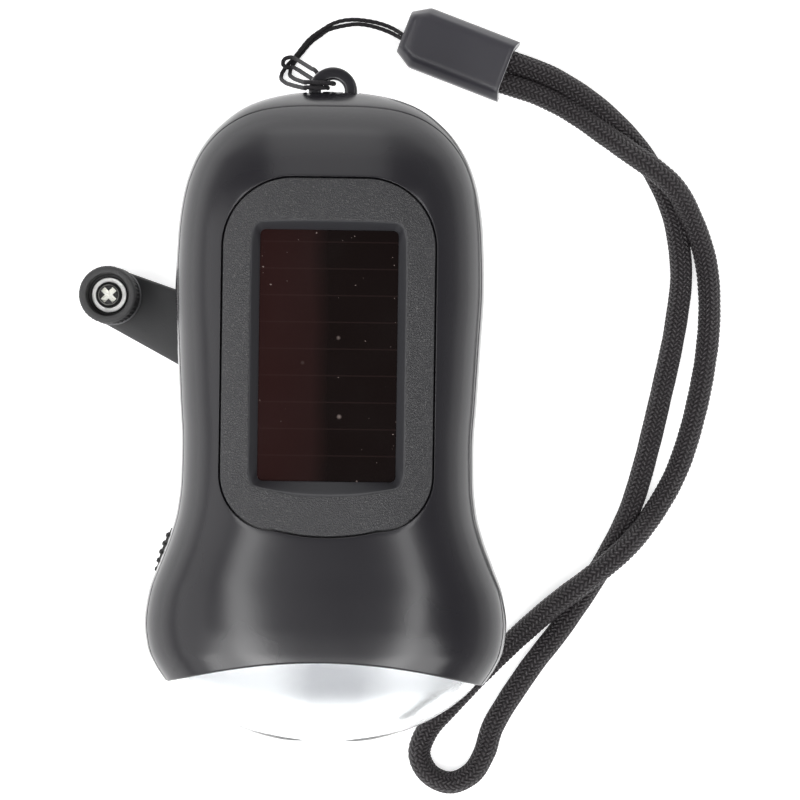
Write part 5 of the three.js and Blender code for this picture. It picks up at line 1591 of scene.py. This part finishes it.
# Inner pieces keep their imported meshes


def solar_glass():
    """Dark brown cells in ten rows under glass, with dust along its edges."""
    n = Nodes("solar_glass")
    place = n.parts(n.place)
    x, y = place["X"], place["Y"]
    row = n.math("DIVIDE", n.math("SUBTRACT", y, CELL_LINE_Y * MM), CELL_PITCH * MM)
    off = n.math("ABSOLUTE", n.math("SUBTRACT", n.math("FRACT", n.math("ADD", row, 0.5)), 0.5))
    line = n.span(off, 0.012, 0.035, 1.0, 0.0)
    cloud = n.noise(70, 3)
    bend = n.math("ADD", x, n.math("MULTIPLY", cloud, 0.003))
    half = n.span(bend, -0.0012, 0.0016)
    side = n.span(x, -0.0115, 0.0)
    left = n.mix(side, colour(0.019, 0.0068, 0.0064), colour(0.014, 0.0065, 0.0062))
    tone = n.mix(half, left, colour(0.0056, 0.0032, 0.003))
    lined = n.mix(n.math("MULTIPLY", line, 0.15), tone, colour(0.05, 0.03, 0.028))
    edge = n.math("MAXIMUM", n.span(n.math("ABSOLUTE", x), 0.0095, 0.0115, 0.0, 0.075),
                  n.span(n.math("ABSOLUTE", n.math("SUBTRACT", y, GLASS_MIDDLE * MM)),
                         0.0185, 0.0207, 0.0, 0.06))
    grain = n.math("ADD", n.noise(1500, 1), edge)
    dust = n.span(grain, 0.785, 0.81)
    for x0, y0, r, share in SPOTS:
        near = n.distance(x0, y0, CELL_TOP)
        dust = n.math("MAXIMUM", dust, n.span(near, r * MM, r * 0.3 * MM, 0, share))
    n.set(Base_Color=n.mix(n.math("MULTIPLY", dust, 0.6), lined, colour(0.34, 0.27, 0.25)),
          Roughness=n.span(cloud, *NOISE, 0.12, 0.2), Specular_IOR_Level=0.16)
    return n.material


# Lines between the cells, and pale spots as x, y, radius and strength
CELL_LINE_Y = 25.4
CELL_PITCH = 4.44
CELL_TOP = 42.7
GLASS_MIDDLE = 6.5
SPOTS = ((1.7, 9.5, 0.4, 0.4), (2.0, -3.6, 0.45, 0.6), (-4.2, 5.3, 0.4, 0.1))
NODE_MATERIALS = (
    (solar_glass(), "solar_panel"),
    (foam_grey, "solar_pad"),
    (board_green, "led_board main_board"),
    (magnet_grey, "rotor_magnet"),
    (copper, "stator_coil"),
    (inner_black, "gearbox_plate cell_holder switch_body"),
    (gear_white, "drive_gear second_gear third_gear rotor_pinion"),
    (steel, "hinge_pin hub_screw second_axle third_axle plate_screw_1 plate_screw_2 "
            "plate_screw_3 cell_1 cell_2 cell_3"),
)
for material, names in NODE_MATERIALS:
    for name in names.split():
        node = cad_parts[name]
        node.data.materials.clear()
        node.data.materials.append(material)


# Stage

FLOOR = 3

mesh = bpy.data.meshes.new("floor")
mesh.from_pydata([(-FLOOR, -FLOOR, 0), (FLOOR, -FLOOR, 0), (FLOOR, FLOOR, 0), (-FLOOR, FLOOR, 0)],
                 [], [(0, 1, 2, 3)])
floor = linked("floor", mesh)


def floor_white():
    """White paper that keeps a light shadow."""
    n = Nodes("floor_white")
    n.set(Base_Color=colour(0.85, 0.85, 0.85), Roughness=0.7, Specular_IOR_Level=0.1,
          Emission_Color=colour(1, 1, 1))
    light = n.add("ShaderNodeLightPath").outputs
    seen = n.math("MAXIMUM", light["Is Camera Ray"], light["Is Transmission Ray"])
    n.put(n.shader.inputs["Emission Strength"], n.math(
        "MAXIMUM", n.math("MULTIPLY", seen, 0.62), light["Is Glossy Ray"]))
    return n.material


mesh.materials.append(floor_white())


LIGHT_AIM = Vector((0, 0, 30)) * MM


def area_light(name, place, size, size_y, power):
    """A rectangular lamp at a place in millimetres that shines on the flashlight."""
    data = bpy.data.lights.new(name, "AREA")
    data.energy = power
    data.shape = "RECTANGLE"
    data.size = size
    data.size_y = size_y
    light = linked(name, data)
    light.location = [c * MM for c in place]
    way = LIGHT_AIM - light.location
    light.rotation_euler = way.to_track_quat("-Z", "Y").to_euler()
    return light


lights = [
    area_light("left_strip", (-340, -130, 1250), 1.15, 0.2, 4.1),
    area_light("right_strip", (350, -130, 1250), 1.15, 0.16, 3.0),
    area_light("left_fill", (-900, -300, 1000), 1.5, 0.7, 3.8),
    area_light("tail_fill", (-50, 1000, 850), 0.5, 1.2, 1.9),
    area_light("left_foot", (-400, -600, 1180), 0.6, 0.55, 4.6),
    area_light("right_foot", (400, -600, 1180), 0.6, 0.55, 4.6),
]

# A studio that is bright near the floor, dim overhead and dimmer on the right: tones by height,
# and strengths at the far left and right
WORLD_TONES = ((0.0, 2.1), (0.22, 1.6), (0.5, 0.5), (0.8, 0.16), (1.0, 0.12))
WORLD_STRENGTH = (1.2, 0.74)

world = bpy.data.worlds.new("studio")
bpy.context.scene.world = world
world.use_nodes = True
tree = world.node_tree
background = next(node for node in tree.nodes if node.type == "BACKGROUND")
place = tree.nodes.new("ShaderNodeTexCoord").outputs["Generated"]
split = tree.nodes.new("ShaderNodeSeparateXYZ")
tree.links.new(place, split.inputs[0])
ramp = tree.nodes.new("ShaderNodeValToRGB")
tree.links.new(split.outputs["Z"], ramp.inputs["Fac"])
ramp.color_ramp.interpolation = "EASE"
points = ramp.color_ramp.elements
while len(points) < len(WORLD_TONES):
    points.new(0.5)
for point, (at, tone) in zip(points, WORLD_TONES):
    point.position = at
    point.color = (tone, tone, tone, 1)
tree.links.new(ramp.outputs["Color"], background.inputs["Color"])
side = tree.nodes.new("ShaderNodeMapRange")
for key, value in zip(("From Min", "From Max", "To Min", "To Max"), (-1.0, 1.0, *WORLD_STRENGTH)):
    side.inputs[key].default_value = value
tree.links.new(split.outputs["X"], side.inputs["Value"])
tree.links.new(side.outputs["Result"], background.inputs["Strength"])
